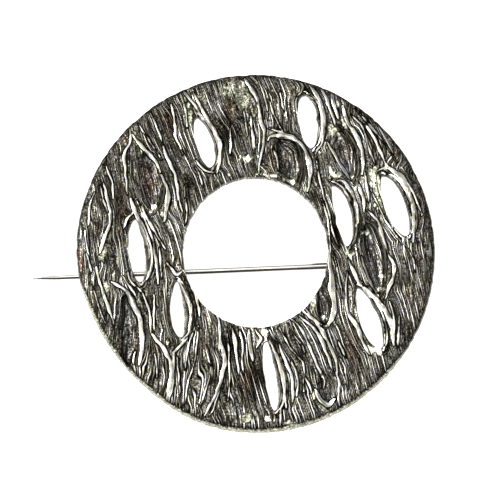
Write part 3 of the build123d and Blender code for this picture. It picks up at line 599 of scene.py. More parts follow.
# A rim comes and goes along its lens, differently on each lens, side and line. It is weaker and
# thinner on the left, and the grain parts round the lens.

rim_changes = 3.1
lens_offset = 5.3
line_offset = 7.7
rim_seed = 71
rim_gain = 2.2
weakest_rim = 0.2
faintest_rim = 0.15
rim_widths = Span(0.6, 1.4)
left_rim_width = 0.6
wall_reach = 0.1
parting_reach = 2.2
narrowest_wall = 0.05


def lay_rims(front, x, y):
    """Raises the rims of the openings and dents, sinks the dents, and parts the grain."""
    for number, lens in enumerate(openings + dents):
        gap, out, share, width = lens_place(lens, x, y)
        on_right = out > 0
        is_dent = isinstance(lens, Dent)
        in_shade = (gap < wall_reach) & (out < 0)
        front["wall"] = np.where(in_shade, shaded_wall_tone, front["wall"])
        for line_number, rim in enumerate(rim_lines):
            own_place = rim_changes * share + lens_offset * number
            own_row = line_offset * line_number + np.sign(out)
            changing = smooth_noise(own_place, own_row, rim_seed)
            strength = lens.rim * rim.strength * np.where(on_right, 1.0, left_rim_share)
            strength = strength * (dent_rim_share if is_dent else 1.0)
            strength = strength * np.clip(rim_gain * changing, weakest_rim, 1.0)
            half_width = rim.half_width * within(rim_widths, changing)
            half_width = half_width * np.where(on_right, 1.0, left_rim_width)
            distance = np.abs(gap + front["wobble"] / 2 - rim.distance)
            height = rim_height * strength * ridge_profile(distance, half_width)
            front["raised"] = np.maximum(front["raised"], height)
            rim_gap = np.where(strength > faintest_rim, distance - half_width, np.inf)
            keep_nearer(front, ..., rim_gap, strength)
        parting = np.exp(-np.maximum(gap, 0.0) / parting_reach) * np.sign(out)
        front["grain"] = front["grain"] - lens.rim * width * parting
        if is_dent:
            inward = smooth_step(-gap / (dent_wall_share * np.maximum(width, narrowest_wall)))
            front["ground"] = front["ground"] - dent_depth * lens.depth * inward
            front["in_dent"] = np.maximum(front["in_dent"], inward)


# The ground between the ridges is bare of them and has all the bark. It is blotchy, and in the
# dents smoother, more pitted and cooler in hue.

ridge_pitting = 0.12
ridge_changes = Span(0.90, 1.14)
bare_distance = 0.10
blotch_change = 0.16
dent_pitting = 0.36
dent_glow = 0.03
dent_smoothness = 0.6
dent_coolness = 0.7


def lay_ground(front, y):
    """Gives the ground its tone, its bark and its fine streaks."""
    pits = front["pits"] - 0.5
    in_dent = front["in_dent"]
    front["ridge_gap"] = front["ridge_gap"] + ridge_pitting * pits
    front["ridge_shine"] = front["ridge_shine"] * within(ridge_changes, front["pits"])
    front["bare"] = np.clip(front["ridge_gap"] / bare_distance, 0.0, 1.0)
    front["tone"] = ground_tone + blotch_change * (front["blotches"] - 0.5)
    front["tone"] = front["tone"] + (dent_pitting * pits + dent_glow) * in_dent
    front["bark"] = (1 - dent_smoothness * in_dent) * front["bare"]
    front["cool"] = dent_coolness * in_dent
    streaked = uneven(streak_field, front["grain"], y) - 0.5
    front["raised"] = front["raised"] + streak_height * streaked * front["bare"]


# A patch has a ragged, pitted edge and no bark. A stain lightens the ground that it is on, and
# where the ground is lighter the bark on it is bolder.

patch_pitting = 1.3
patch_raggedness = 0.7
patch_reach = 1.05
patch_softness = 0.3
patch_changes = Span(0.74, 1.19)
stain_changes = Span(0.65, 1.35)
stain_glow = 0.12
shade_boldness = 1.5


def lay_patches(front, x, y):
    """Lays the smooth places with their painted highlight, the brown stains and the lighter and darker
    places.
    """
    for patch in highlit_patches:
        far = ellipse_place(patch, x + 2 * front["wobble"], y)
        far = far + patch_pitting * (front["pits"] - 0.5) + patch_raggedness * (front["breaks"] - 0.5)
        inside = np.clip((patch_reach - far) / patch_softness, 0.0, 1.0)
        shine = patch.shine * within(patch_changes, front["pits"])
        front["raised"] = front["raised"] + patch_height * inside
        # A patch's pale tone is a painted highlight
        front["tone"] = front["tone"] * (1 - inside) + shine * inside
        front["bark"] = front["bark"] * (1 - inside)
        front["cool"] = front["cool"] * (1 - inside) - inside
    for stain in stains:
        strength = stain.strength * within(stain_changes, front["blotches"])
        brown = strength * np.exp(-(ellipse_place(stain, x, y) ** 2))
        front["brown"] = np.maximum(front["brown"], brown)
    front["tone"] = front["tone"] + stain_glow * front["brown"] * front["bare"]
    for shade in shades:
        amount = shade.amount * np.exp(-(ellipse_place(shade, x, y) ** 2))
        front["tone"] = front["tone"] + amount * front["bare"]
        front["bark"] = front["bark"] * (1 + shade_boldness * amount)


# The outer edge is rounded and dark. Along the bottom, between two angles, a pale strip runs
# outside the dark line: a painted reflection of the pale surroundings in the edge. Bark and ridges
# end a little inside it.

reflection_start = 189.0
reflection_end = 327.0
reflection_fade = 8.0
reflection_width = 0.46
reflection_reach = 0.352
reflection_softness = 0.22
dark_line_width = 0.14
dark_line_share = 0.9
bark_end = 0.15
bark_end_softness = 0.35
wall_changes = Span(0.88, 1.12)
edge_flatness = 0.6


def finish_edge(front, x, y):
    """Darkens and rounds the outer edge, and paints a pale band of reflection along its bottom."""
    to_edge = np.maximum(outline_radius(x, y) - np.hypot(x, y), 0.0)
    turn = np.degrees(np.arctan2(y, x)) % 360
    bottom = np.clip((turn - reflection_start) / reflection_fade, 0.0, 1.0)
    bottom = bottom * np.clip((reflection_end - turn) / reflection_fade, 0.0, 1.0)
    dark_line = np.exp(-(((to_edge - reflection_width * bottom) / dark_line_width) ** 2))
    # The pale strip along the bottom is a painted reflection of the pale surroundings
    painted_reflection = bottom * np.clip((reflection_reach - to_edge) / reflection_softness, 0.0, 1.0)
    inward = np.clip((to_edge - bark_end) / bark_end_softness, 0.0, 1.0)
    front["ridge_shine"] = front["ridge_shine"] * inward
    front["bark"] = front["bark"] * inward
    front["tone"] = front["tone"] * (1 - dark_line_share * dark_line)
    front["tone"] = front["tone"] * (1 - painted_reflection) + edge_tone * painted_reflection
    front["cool"] = front["cool"] - painted_reflection
    front["wall"] = np.where(to_edge < edge_flare, edge_tone, front["wall"])
    front["wall"] = front["wall"] * within(wall_changes, front["pits"])
    front["rounding"] = np.exp(-((to_edge / edge_fall) ** 2))


# A crest wanders over a few pitches, and is strong in some stretches and missing in others

wander_pitches = 3
stretch_share = 0.4
crest_offset = 3.7
crest_gain = 2.6
missing_share = 1.0
crest_blotchiness = 0.7
crest_share = 0.1


def lay_crests(front, y):
    """Raises the bark's long crests, and notes each one's place and strength."""
    for number, row in enumerate(crest_rows):
        across = front["grain"] / (wander_pitches * row.pitch)
        wander = row.wander * (smooth_noise(across, y / row.run, row.seed) - 0.5)
        place = (front["grain"] + row.slant * y) / row.pitch + wander
        line = np.floor(place)
        stretches = smooth_noise(crest_offset * line, y / (stretch_share * row.run), row.seed + 1)
        strength = crest_gain * stretches - missing_share
        strength = strength + crest_blotchiness * (front["blotches"] - 0.5)
        strength = np.clip(strength, 0.0, 1.0) * front["bark"]
        distance = np.abs(place - line - 0.5) * row.pitch
        profile = np.exp(-((distance / (crest_share * row.pitch + soft_flank)) ** 2))
        front["raised"] = front["raised"] + crest_height * row.shine * strength * profile
        front[f"place_{number}"] = place
        front[f"strength_{number}"] = strength


def cast_relief(x, y):
    """The front at each point, by name. height is above the back face, and grain and along are the
    place in the bark. Of the nearest strand or rim, ridge_gap is the distance to its edge, negative
    on it, and ridge_shine is how bright it is. tone, brown, cool and bark are the ground's
    brightness, its stain, its hue and how far it is bark, and wall is the brightness of a wall that
    stands there. Each crest row has its place and its strength."""
    front = {
        "grain": bent_grain(x, y),
        "along": y,
        "wobble": wobble_reach * (uneven(wobble_field, x, y) - 0.5),
        "breaks": uneven(break_field, x, y),
        "blotches": uneven(blotch_field, x, y),
        "pits": uneven(pit_field, x, y),
        "raised": np.zeros(x.shape),
        "ground": np.full(x.shape, ground_thickness),
        "ridge_gap": np.full(x.shape, farthest_ridge),
        "ridge_shine": np.zeros(x.shape),
        "in_dent": np.zeros(x.shape),
        "brown": np.zeros(x.shape),
        "wall": np.full(x.shape, wall_tone),
    }
    lay_strands(front, x, y)
    lay_rims(front, x, y)
    lay_ground(front, y)
    lay_patches(front, x, y)
    finish_edge(front, x, y)
    lay_crests(front, y)
    raised = front["raised"] * (1 - edge_flatness * front["rounding"])
    front["height"] = front["ground"] + raised - edge_fall_depth * front["rounding"]
    return front


def only(obj):
    """Makes obj the one selected and active object."""
    bpy.ops.object.select_all(action="DESELECT")
    obj.select_set(True)
    bpy.context.view_layer.objects.active = obj


def corners_of(obj):
    """The places of a mesh's vertices, in millimetres, as an array."""
    places = np.empty(3 * len(obj.data.vertices))
    obj.data.vertices.foreach_get("co", places)
    return places.reshape(-1, 3) / mm


def set_corners(obj, places):
    """Moves a mesh's vertices to places in millimetres."""
    obj.data.vertices.foreach_set("co", (places * mm).ravel())
    obj.data.update()


def cut_by(obj, cutter, operation):
    """Cuts obj by another mesh, which is then thrown away."""
    only(obj)
    boolean = obj.modifiers.new("cut", "BOOLEAN")
    boolean.operation = operation
    boolean.object = cutter
    boolean.solver = "EXACT"
    bpy.ops.object.modifier_apply(modifier=boolean.name)
    bpy.data.objects.remove(cutter)


# The slab: a fine grid, longer in its cells along the grain than across it, with a flat back

slab_margin = 0.25
slab_reach = outer_radius * (1 + oval_share) + slab_margin
bpy.ops.object.select_all(action="DESELECT")
bpy.ops.mesh.primitive_grid_add(
    x_subdivisions=round(2 * slab_reach / cell_across),
    y_subdivisions=round(2 * slab_reach / cell_along),
    size=2 * slab_reach * mm,
)
cast_ring = bpy.context.object
cast_ring.name = "cast_ring"
cast_ring.data.name = "cast_ring"
places = corners_of(cast_ring)
places[:, 2] = cast_relief(places[:, 0], places[:, 1])["height"]
bpy.ops.object.mode_set(mode="EDIT")
bpy.ops.mesh.select_all(action="SELECT")
bpy.ops.mesh.region_to_loop()
bpy.ops.mesh.extrude_edges_move(TRANSFORM_OT_translate={"value": (0, 0, -mm)})
bpy.ops.mesh.edge_face_add()
bpy.ops.object.mode_set(mode="OBJECT")
below = np.zeros((len(cast_ring.data.vertices) - len(places), 3))
below[:, :2] = corners_of(cast_ring)[len(places):, :2]
set_corners(cast_ring, np.vstack((places, below)))
bpy.ops.object.mode_set(mode="EDIT")
bpy.ops.mesh.select_all(action="SELECT")
bpy.ops.mesh.normals_make_consistent(inside=False)
bpy.ops.object.mode_set(mode="OBJECT")

# The cutters: a round one each for the outline and the hole, and one for each opening. Each is a
# disc, drawn out into a plug whose top and bottom rings are then shaped. A cast edge is uneven, so
# each has its bumps: how many go round it or down it, and the seed of their random sizes.

plug_top = 4.0
plug_bottom = -1.0

Bumps = namedtuple("Bumps", "count seed")
outline_bumps = Bumps(256, 83)
hole_bumps = Bumps(128, 89)
opening_bumps = Bumps(8, 97)
hole_bump_base = 0.2
lens_spread = 3


def plug(name, corners, shaped):
    """A plug through the ring. shaped gives its outline's x and y at a turn from 0 to 1, and at a
    height in millimetres."""
    bpy.ops.object.select_all(action="DESELECT")
    bpy.ops.mesh.primitive_circle_add(vertices=corners, fill_type="NGON", radius=mm)
    made = bpy.context.object
    made.name = name
    bpy.ops.object.mode_set(mode="EDIT")
    bpy.ops.mesh.extrude_region_move(TRANSFORM_OT_translate={"value": (0, 0, mm)})
    bpy.ops.object.mode_set(mode="OBJECT")
    rings = corners_of(made)
    turns = np.arctan2(rings[:, 1], rings[:, 0]) / (2 * pi) % 1.0
    rings[:, 2] = np.where(rings[:, 2] > 0.5, plug_top, plug_bottom)
    rings[:, 0], rings[:, 1] = shaped(turns, rings[:, 2])
    set_corners(made, rings)
    bpy.ops.object.mode_set(mode="EDIT")
    bpy.ops.mesh.select_all(action="SELECT")
    bpy.ops.mesh.normals_make_consistent(inside=False)
    bpy.ops.object.mode_set(mode="OBJECT")
    return made


def rounded_bumps(bumps, turns):
    """How high the bumps of a round edge are at each turn, mostly low and up to 1."""
    return smooth_noise(bumps.count * turns, np.zeros(turns.shape), bumps.seed) ** 2


def outline_shape(turns, heights):
    """The ring's outline, wider towards the back."""
    x, y = np.cos(2 * pi * turns), np.sin(2 * pi * turns)
    radius = outline_radius(x, y) + edge_flare * (1 - heights / ground_thickness)
    radius -= edge_roughness * rounded_bumps(outline_bumps, turns)
    return radius * x, radius * y


def hole_shape(turns, heights):
    """The middle hole, narrower towards the back."""
    x, y = np.cos(2 * pi * turns), np.sin(2 * pi * turns)
    radius = hole_edge_radius(x, y) - hole_flare * (1 - heights / ground_thickness)
    radius += edge_roughness * (rounded_bumps(hole_bumps, turns) - hole_bump_base)
    return radius * x, radius * y


def lens_shape(lens):
    """The outline of one opening, whose right wall slopes in towards the back."""
    middle_x, middle_y = on_band(lens.angle, lens.across)
    lean = radians(lens.lean)

    def shaped(turns, heights):
        share = (1 - np.cos(2 * pi * turns)) / 2
        on_right = turns < 0.5
        right = lens.right * side_bow(share, lens.right_at)
        slope = lens.lip * side_bow(share, lens.right_at) * (heights / ground_thickness - 1)
        left = -lens.left * side_bow(share, lens.left_at)
        out = np.where(on_right, right + slope, left) * band_width
        own_place = opening_bumps.count * share + lens_spread * lens.angle
        rough = smooth_noise(own_place, 0.5 + on_right, opening_bumps.seed) - 0.5
        out += 2 * edge_roughness * rough * side_bow(share, lens.left_at)
        down = (share - 0.5) * lens.length * band_width
        x = middle_x + down * sin(lean) + out * cos(lean)
        y = middle_y - down * cos(lean) + out * sin(lean)
        return x, y

    return shaped


outline_corners = 720
hole_corners = 300
opening_corners = 96
merge_distance = 0.002
smooth_angle = 50

cut_by(cast_ring, plug("outline_plug", outline_corners, outline_shape), "INTERSECT")
plugs = [plug("opening_plug", opening_corners, lens_shape(lens)) for lens in openings]
plugs.append(plug("hole_plug", hole_corners, hole_shape))
only(plugs[-1])
for opening_plug in plugs[:-1]:
    opening_plug.select_set(True)
bpy.ops.object.join()
cut_by(cast_ring, plugs[-1], "DIFFERENCE")

only(cast_ring)
bpy.ops.object.mode_set(mode="EDIT")
bpy.ops.mesh.select_all(action="SELECT")
bpy.ops.mesh.remove_doubles(threshold=merge_distance * mm)
bpy.ops.mesh.normals_make_consistent(inside=False)
bpy.ops.object.mode_set(mode="OBJECT")
bpy.ops.object.shade_smooth_by_angle(angle=radians(smooth_angle))

# What the finish needs to know of each place is kept on the mesh, up to three values to a name. A
# little below the front, on the walls, the ridges and the bark end.

wall_top = 0.30
wall_top_softness = 0.25

finish_fields = {
    "bark_place": ["grain", "along", "bark"],
    "ridge": ["ridge_gap", "ridge_shine"],
    "ground_look": ["tone", "brown", "cool"],
}
front_only = ["ridge_shine", "brown", "bark"]
for number in range(len(crest_rows)):
    finish_fields[f"crests_{number}"] = [f"place_{number}", f"strength_{number}"]
    front_only.append(f"strength_{number}")

places = corners_of(cast_ring)
front = cast_relief(places[:, 0], places[:, 1])
below_front = front["height"] - places[:, 2]
on_front = np.clip((wall_top - below_front) / wall_top_softness, 0.0, 1.0)
front["tone"] = front["wall"] + (front["tone"] - front["wall"]) * on_front
for name in front_only:
    front[name] = front[name] * on_front
for name, fields in finish_fields.items():
    values = np.zeros((len(places), 3), np.float32)
    for column, field in enumerate(fields):
        values[:, column] = front[field]
    stored = cast_ring.data.attributes.new(name, "FLOAT_VECTOR", "POINT")
    stored.data.foreach_set("vector", values.ravel())

# The ring leans a few degrees, because it stands on the hinge and the catch on its back

lean_angle = 5.741
pin_slope = 2.45
back_middle = Vector((3.65215, 0.0, 3.05991)) * mm
pin_way = Vector((cos(radians(pin_slope)), sin(radians(pin_slope)), 0.0))
leaning = Matrix.Translation(back_middle) @ Matrix.Rotation(-radians(lean_angle), 4, pin_way)
cast_ring.data.transform(leaning)


def linear(colour):
    """A colour given as an sRGB hex value, as the linear colour that a shader takes."""
    channels = [int(colour[place : place + 2], 16) / 255 for place in (1, 3, 5)]
    return [c / 12.92 if c <= 0.04045 else ((c + 0.055) / 1.055) ** 2.4 for c in channels] + [1.0]


def add_node(tree, kind, links=(), settings=(), stops=(), **values):
    """Adds a shader node. links go into its sockets, settings are the node's own, stops are a
    ramp's places and colours, and values are set on sockets, with _ for a space in a name."""
    node = tree.nodes.new(kind)
    for name, value in dict(settings).items():
        setattr(node, name, value)
    for socket, source in dict(links).items():
        tree.links.new(source, node.inputs[socket])
    for name, value in values.items():
        node.inputs[name.replace("_", " ")].default_value = value
    for number, (place, colour) in enumerate(stops):
        elements = node.color_ramp.elements
        element = elements[number] if number < len(elements) else elements.new(1.0)
        element.position, element.color = place, linear(colour)
    return node


def new_metal(name):
    """A metal without its finish: the material, its nodes, its shader and each point's place."""
    metal = bpy.data.materials.new(name)
    metal.use_nodes = True
    shader = metal.node_tree.nodes["Principled BSDF"]
    shader.inputs["Metallic"].default_value = 1.0
    place = add_node(metal.node_tree, "ShaderNodeTexCoord").outputs["Object"]
    return metal, metal.node_tree, shader, place


# Oxidised silver: cast, blackened with liver of sulphur and rubbed back. The furrows stay dull and
# nearly black, the bark is a mid grey with brown stains, and the rubbed crests shine almost white.
# The pale patches and the pale strip along the bottom edge are a painted highlight and a painted
# reflection.
# The sizes are in millimetres. A noise's values lie mostly within noise_range.

streak_width = 0.17
streak_length = 3.2
speck_size = 0.30
stain_size = 5.0
hue_blotch_size = 1.3
line_softness = 0.02
thinnest_crest = 0.015
crest_furrow = 0.125
ridge_furrow = 0.27
furrow_bottom = 0.4
bold_strength = 0.35
ridge_shoulder = 0.13
ridge_top = 0.21
relief_depth = 0.07
noise_range = {"From_Min": 0.34, "From_Max": 0.66}

oxidised_silver, tree, shader, place = new_metal("oxidised_silver")
known = {}
for name, fields in finish_fields.items():
    stored = add_node(tree, "ShaderNodeAttribute", settings={"attribute_name": name})
    split = add_node(tree, "ShaderNodeSeparateXYZ", {"Vector": stored.outputs["Vector"]})
    known[name] = stored.outputs["Vector"]
    for field, axis in zip(fields, "XYZ"):
        known[field] = split.outputs[axis]

# The ground: its own tone, with fine streaks along the grain and specks

along_grain = add_node(
    tree, "ShaderNodeVectorMath", {0: known["bark_place"]}, {"operation": "MULTIPLY"}
)
along_grain.inputs[1].default_value = (1 / streak_width, 1 / streak_length, 0.0)
streaks = add_node(
    tree, "ShaderNodeTexNoise", {"Vector": along_grain.outputs["Vector"]}, Scale=1.0, Detail=3.0,
    Roughness=0.6,
).outputs["Fac"]
streak = add_node(
    tree, "ShaderNodeMapRange", {"Value": streaks}, **noise_range, To_Min=-0.28, To_Max=0.30
).outputs["Result"]
streak = add_node(
    tree, "ShaderNodeMath", {0: streak, 1: known["bark"]}, {"operation": "MULTIPLY"}
).outputs["Value"]
specks = add_node(
    tree, "ShaderNodeTexNoise", {"Vector": place}, Scale=1 / (speck_size * mm), Detail=2.0
).outputs["Fac"]
speck = add_node(
    tree, "ShaderNodeMapRange", {"Value": specks}, **noise_range, To_Min=-0.19, To_Max=0.19
).outputs["Result"]
tone = known["tone"]
for change in (streak, speck):
    tone = add_node(
        tree, "ShaderNodeMath", {0: tone, 1: change}, {"operation": "ADD"}
    ).outputs["Value"]

# The crests, row by row, and then the strands and rims. gap is the distance to the line's edge,
# shine its tone where its strength is 1, and furrow how wide the furrow beside it is. A crest is
# thinner where it is weaker, and a wide ridge is brightest at its shoulders.

LineFinish = namedtuple("LineFinish", "gap strength shine furrow")
line_finishes = []
for number, row in enumerate(crest_rows):
    strength = known[f"strength_{number}"]
    pitch_share = add_node(
        tree, "ShaderNodeMath", {0: known[f"place_{number}"]}, {"operation": "FRACT"}
    ).outputs["Value"]
    beside = add_node(
        tree, "ShaderNodeMapRange", {"Value": pitch_share}, {"clamp": False}, From_Min=0.0,
        From_Max=1.0, To_Min=-row.pitch / 2, To_Max=row.pitch / 2,
    ).outputs["Result"]
    distance = add_node(
        tree, "ShaderNodeMath", {0: beside}, {"operation": "ABSOLUTE"}
    ).outputs["Value"]
    half_width = add_node(
        tree, "ShaderNodeMapRange", {"Value": strength}, To_Min=thinnest_crest,
        To_Max=row.half_width,
    ).outputs["Result"]
    gap = add_node(
        tree, "ShaderNodeMath", {0: distance, 1: half_width}, {"operation": "SUBTRACT"}
    ).outputs["Value"]
    line_finishes.append(LineFinish(gap, strength, row.shine, crest_furrow))
ridge_brightness = add_node(
    tree, "ShaderNodeMapRange", {"Value": known["ridge_gap"]}, From_Min=-ridge_shoulder,
    From_Max=-ridge_top, To_Min=1.06, To_Max=0.74,
).outputs["Result"]
ridge_strength = add_node(
    tree, "ShaderNodeMath", {0: known["ridge_shine"], 1: ridge_brightness},
    {"operation": "MULTIPLY"},
).outputs["Value"]
line_finishes.append(LineFinish(known["ridge_gap"], ridge_strength, 1.0, ridge_furrow))

# Each line blackens the tone beside it, less where the streaks are bright, and lies bright on top

blackness = add_node(
    tree, "ShaderNodeMapRange", {"Value": streaks}, From_Min=0.38, From_Max=0.66, To_Min=0.98,
    To_Max=0.60,
).outputs["Result"]
for line in line_finishes:
    furrow = add_node(
        tree, "ShaderNodeMapRange", {"Value": line.gap, "To Max": blackness},
        From_Min=line.furrow, From_Max=furrow_bottom * line.furrow, To_Min=0.0,
    ).outputs["Result"]
    boldness = add_node(
        tree, "ShaderNodeMapRange", {"Value": line.strength}, From_Min=0.0, From_Max=bold_strength
    ).outputs["Result"]
    black = add_node(
        tree, "ShaderNodeMath", {0: furrow, 1: boldness}, {"operation": "MULTIPLY"}
    ).outputs["Value"]
    not_black = add_node(tree, "ShaderNodeMath", {1: black}, {"operation": "SUBTRACT"})
    not_black.inputs[0].default_value = 1.0
    darkened = add_node(
        tree, "ShaderNodeMath", {0: tone, 1: not_black.outputs["Value"]}, {"operation": "MULTIPLY"}
    ).outputs["Value"]
    on_line = add_node(
        tree, "ShaderNodeMapRange", {"Value": line.gap}, From_Min=line_softness,
        From_Max=-line_softness, To_Min=0.0, To_Max=line.shine,
    ).outputs["Result"]
    bright = add_node(
        tree, "ShaderNodeMath", {0: on_line, 1: line.strength}, {"operation": "MULTIPLY"}
    ).outputs["Value"]
    tone = add_node(
        tree, "ShaderNodeMath", {0: darkened, 1: bright}, {"operation": "MAXIMUM"}
    ).outputs["Value"]
mottling = add_node(
    tree, "ShaderNodeMapRange", {"Value": specks}, **noise_range, To_Min=0.93, To_Max=1.09
).outputs["Result"]
tone = add_node(
    tree, "ShaderNodeMath", {0: tone, 1: mottling}, {"operation": "MULTIPLY"}
).outputs["Value"]

# The colour: a grey by the tone, brown where it is stained and not bright, and a slight hue in
# blotches, bluish in the dents and yellowish on the painted highlight of the pale patches and on the
# painted reflection of the edge strip. A mix node takes its colours in its sockets 6 and 7.

grey = add_node(tree, "ShaderNodeValToRGB", {"Fac": tone}, stops=(
    (0.0, "#030302"), (0.14, "#1e1e18"), (0.34, "#57564d"), (0.54, "#94938a"), (0.74, "#cccdc3"),
    (0.95, "#f9fbf5"),
)).outputs["Color"]
cloud = add_node(
    tree, "ShaderNodeTexNoise", {"Vector": place}, Scale=1 / (stain_size * mm), Detail=4.0,
    Roughness=0.65,
).outputs["Fac"]
faint_stain = add_node(
    tree, "ShaderNodeMapRange", {"Value": cloud}, From_Min=0.50, From_Max=0.70, To_Min=0.0,
    To_Max=0.55,
).outputs["Result"]
stain = add_node(
    tree, "ShaderNodeMath", {0: known["brown"], 1: faint_stain}, {"operation": "MAXIMUM"}
).outputs["Value"]
not_bright = add_node(
    tree, "ShaderNodeMapRange", {"Value": tone}, From_Min=0.45, From_Max=0.70, To_Min=1.0,
    To_Max=0.1,
).outputs["Result"]
stain_here = add_node(
    tree, "ShaderNodeMath", {0: stain, 1: not_bright}, {"operation": "MULTIPLY"}
).outputs["Value"]
stained = add_node(
    tree, "ShaderNodeMix", {0: stain_here, 6: grey}, {"data_type": "RGBA", "blend_type": "MULTIPLY"}
)
stained.inputs[7].default_value = linear("#c68d72")
hue_blotches = add_node(
    tree, "ShaderNodeTexNoise", {"Vector": place}, Scale=1 / (hue_blotch_size * mm), Detail=3.0,
    Roughness=0.6,
).outputs["Fac"]
hue = add_node(
    tree, "ShaderNodeMath", {0: known["cool"], 2: hue_blotches}, {"operation": "MULTIPLY_ADD"}
)
hue.inputs[1].default_value = -0.2
tint = add_node(tree, "ShaderNodeValToRGB", {"Fac": hue.outputs["Value"]}, stops=(
    (0.16, "#e2f2ff"), (0.36, "#f5f3ff"), (0.56, "#fffbf2"), (0.72, "#fafeea"),
)).outputs["Color"]
tinted = add_node(
    tree, "ShaderNodeMix", {6: stained.outputs[2], 7: tint},
    {"data_type": "RGBA", "blend_type": "MULTIPLY"},
)
tinted.inputs[0].default_value = 1.0
tree.links.new(tinted.outputs[2], shader.inputs["Base Color"])

# What is rubbed bright, and what has a painted highlight, is also smoother and stands out a little

rough = add_node(
    tree, "ShaderNodeMapRange", {"Value": tone}, From_Min=0.2, From_Max=0.9, To_Min=0.46,
    To_Max=0.22,
).outputs["Result"]
tree.links.new(rough, shader.inputs["Roughness"])
fine_relief = add_node(
    tree, "ShaderNodeBump", {"Height": tone}, Strength=0.6, Distance=relief_depth * mm
).outputs["Normal"]
tree.links.new(fine_relief, shader.inputs["Normal"])

# Satin silver: filed flat and never polished, on the ring's back and on the soldered pieces. It is
# a soft grey with fine file marks, a little warmer and darker in clouds where it has tarnished.

tarnish_size = 6.0
mark_length = 5.0
mark_width = 0.12
mark_depth = 0.02
back_facing = -0.9

satin_silver, tree, shader, place = new_metal("satin_silver")
cloud = add_node(
    tree, "ShaderNodeTexNoise", {"Vector": place}, Scale=1 / (tarnish_size * mm), Detail=4.0,
    Roughness=0.6,
).outputs["Fac"]
tone = add_node(tree, "ShaderNodeValToRGB", {"Fac": cloud}, stops=(
    (0.3, "#8d887c"), (0.5, "#aeaa9f"), (0.7, "#c2bfb4"),
)).outputs["Color"]
tree.links.new(tone, shader.inputs["Base Color"])
across_marks = 1 / (mark_width * mm)
filed = add_node(
    tree, "ShaderNodeMapping", {"Vector": place},
    Scale=(1 / (mark_length * mm), across_marks, across_marks),
).outputs["Vector"]
marks = add_node(
    tree, "ShaderNodeTexNoise", {"Vector": filed}, Scale=1.0, Detail=3.0
).outputs["Fac"]
rough = add_node(
    tree, "ShaderNodeMapRange", {"Value": marks}, From_Min=0.3, From_Max=0.7, To_Min=0.50,
    To_Max=0.32,
).outputs["Result"]
tree.links.new(rough, shader.inputs["Roughness"])
mark_relief = add_node(
    tree, "ShaderNodeBump", {"Height": marks}, Strength=0.4, Distance=mark_depth * mm
).outputs["Normal"]
tree.links.new(mark_relief, shader.inputs["Normal"])
cast_ring.data.materials.clear()
cast_ring.data.materials.append(oxidised_silver)
cast_ring.data.materials.append(satin_silver)
for face in cast_ring.data.polygons:
    face.material_index = 1 if face.normal.z < back_facing else 0
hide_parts("ring_plate")
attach(cast_ring, "ring")

# The hinge bracket. A small plate with two round ears, cut from silver sheet and soldered to the
# back at the right of the hole. The rivet goes through both ears.

pin_depth = 2.0
hinge_reach = 18.4
eye_width = 1.2
ear_fit = 0.06
ear_inside = eye_width / 2 + ear_fit
ear_thickness = 0.7
ear_outside = ear_inside + ear_thickness
ear_radius = 1.2
bracket_length = 5.0
bracket_thickness = 0.5
solder_depth = 0.1
rivet_radius = 0.42
rivet_fit = 0.03
ear_round_share = 0.995
edge_softness = 0.07
edge_tolerance = 0.01
touching_distance = 0.001

pin_middle = Vector((3.77129, -2.78447, 1.33002)) * mm
on_pin_line = Matrix.Translation(pin_middle) @ Matrix.Rotation(-radians(lean_angle), 4, pin_way)
on_pin_line = on_pin_line @ Matrix.Rotation(radians(pin_slope), 4, "Z")


def block(name, low, high):
    """A block between two corners, in millimetres along, beside and in front of the pin's middle."""
    bpy.ops.object.select_all(action="DESELECT")
    low, high = Vector(low) * mm, Vector(high) * mm
    bpy.ops.mesh.primitive_cube_add(size=1, location=(low + high) / 2, scale=high - low)
    bpy.ops.object.transform_apply(location=True, rotation=False, scale=True)
    bpy.context.object.name = name
    return bpy.context.object


def rod(name, middle, radius, length, along_pin=False, corners=48):
    """A round rod about a middle, across the pin or along it, in millimetres."""
    bpy.ops.object.select_all(action="DESELECT")
    bpy.ops.mesh.primitive_cylinder_add(
        vertices=corners,
        radius=radius * mm,
        depth=length * mm,
        location=Vector(middle) * mm,
        rotation=(0.0, pi / 2, 0.0) if along_pin else (pi / 2, 0.0, 0.0),
    )
    bpy.ops.object.transform_apply(location=True, rotation=True, scale=False)
    bpy.context.object.name = name
    return bpy.context.object


def round_edges(obj, wanted, offset, segments):
    """Rounds the edges whose two ends, in millimetres, pass a test."""
    only(obj)
    bpy.ops.object.mode_set(mode="EDIT")
    bpy.ops.mesh.select_mode(type="EDGE")
    bpy.ops.mesh.select_all(action="DESELECT")
    bpy.ops.object.mode_set(mode="OBJECT")
    for edge in obj.data.edges:
        start, end = (obj.data.vertices[corner].co / mm for corner in edge.vertices)
        edge.select = wanted(start, end)
    bpy.ops.object.mode_set(mode="EDIT")
    bpy.ops.mesh.bevel(offset=offset * mm, segments=segments)
    bpy.ops.object.mode_set(mode="OBJECT")


def soften(obj, width, angle=40):
    """Takes the sharpness off every edge, merges what meets and smooths the round faces."""
    only(obj)
    bevel = obj.modifiers.new("soften", "BEVEL")
    bevel.width = width * mm
    bevel.segments = 2
    bevel.limit_method = "ANGLE"
    bevel.angle_limit = radians(angle)
    bpy.ops.object.modifier_apply(modifier=bevel.name)
    bpy.ops.object.mode_set(mode="EDIT")
    bpy.ops.mesh.select_all(action="SELECT")
    bpy.ops.mesh.remove_doubles(threshold=touching_distance * mm)
    bpy.ops.mesh.normals_make_consistent(inside=False)
    bpy.ops.object.mode_set(mode="OBJECT")
    bpy.ops.object.shade_smooth_by_angle(angle=radians(angle))


def low_edge(start, end):
    """Whether an edge runs across the pin at the low end of an ear."""
    across_pin = max(abs(start.x - end.x), abs(start.z - end.z)) < edge_tolerance
    return across_pin and start.z < 0 and end.z < 0


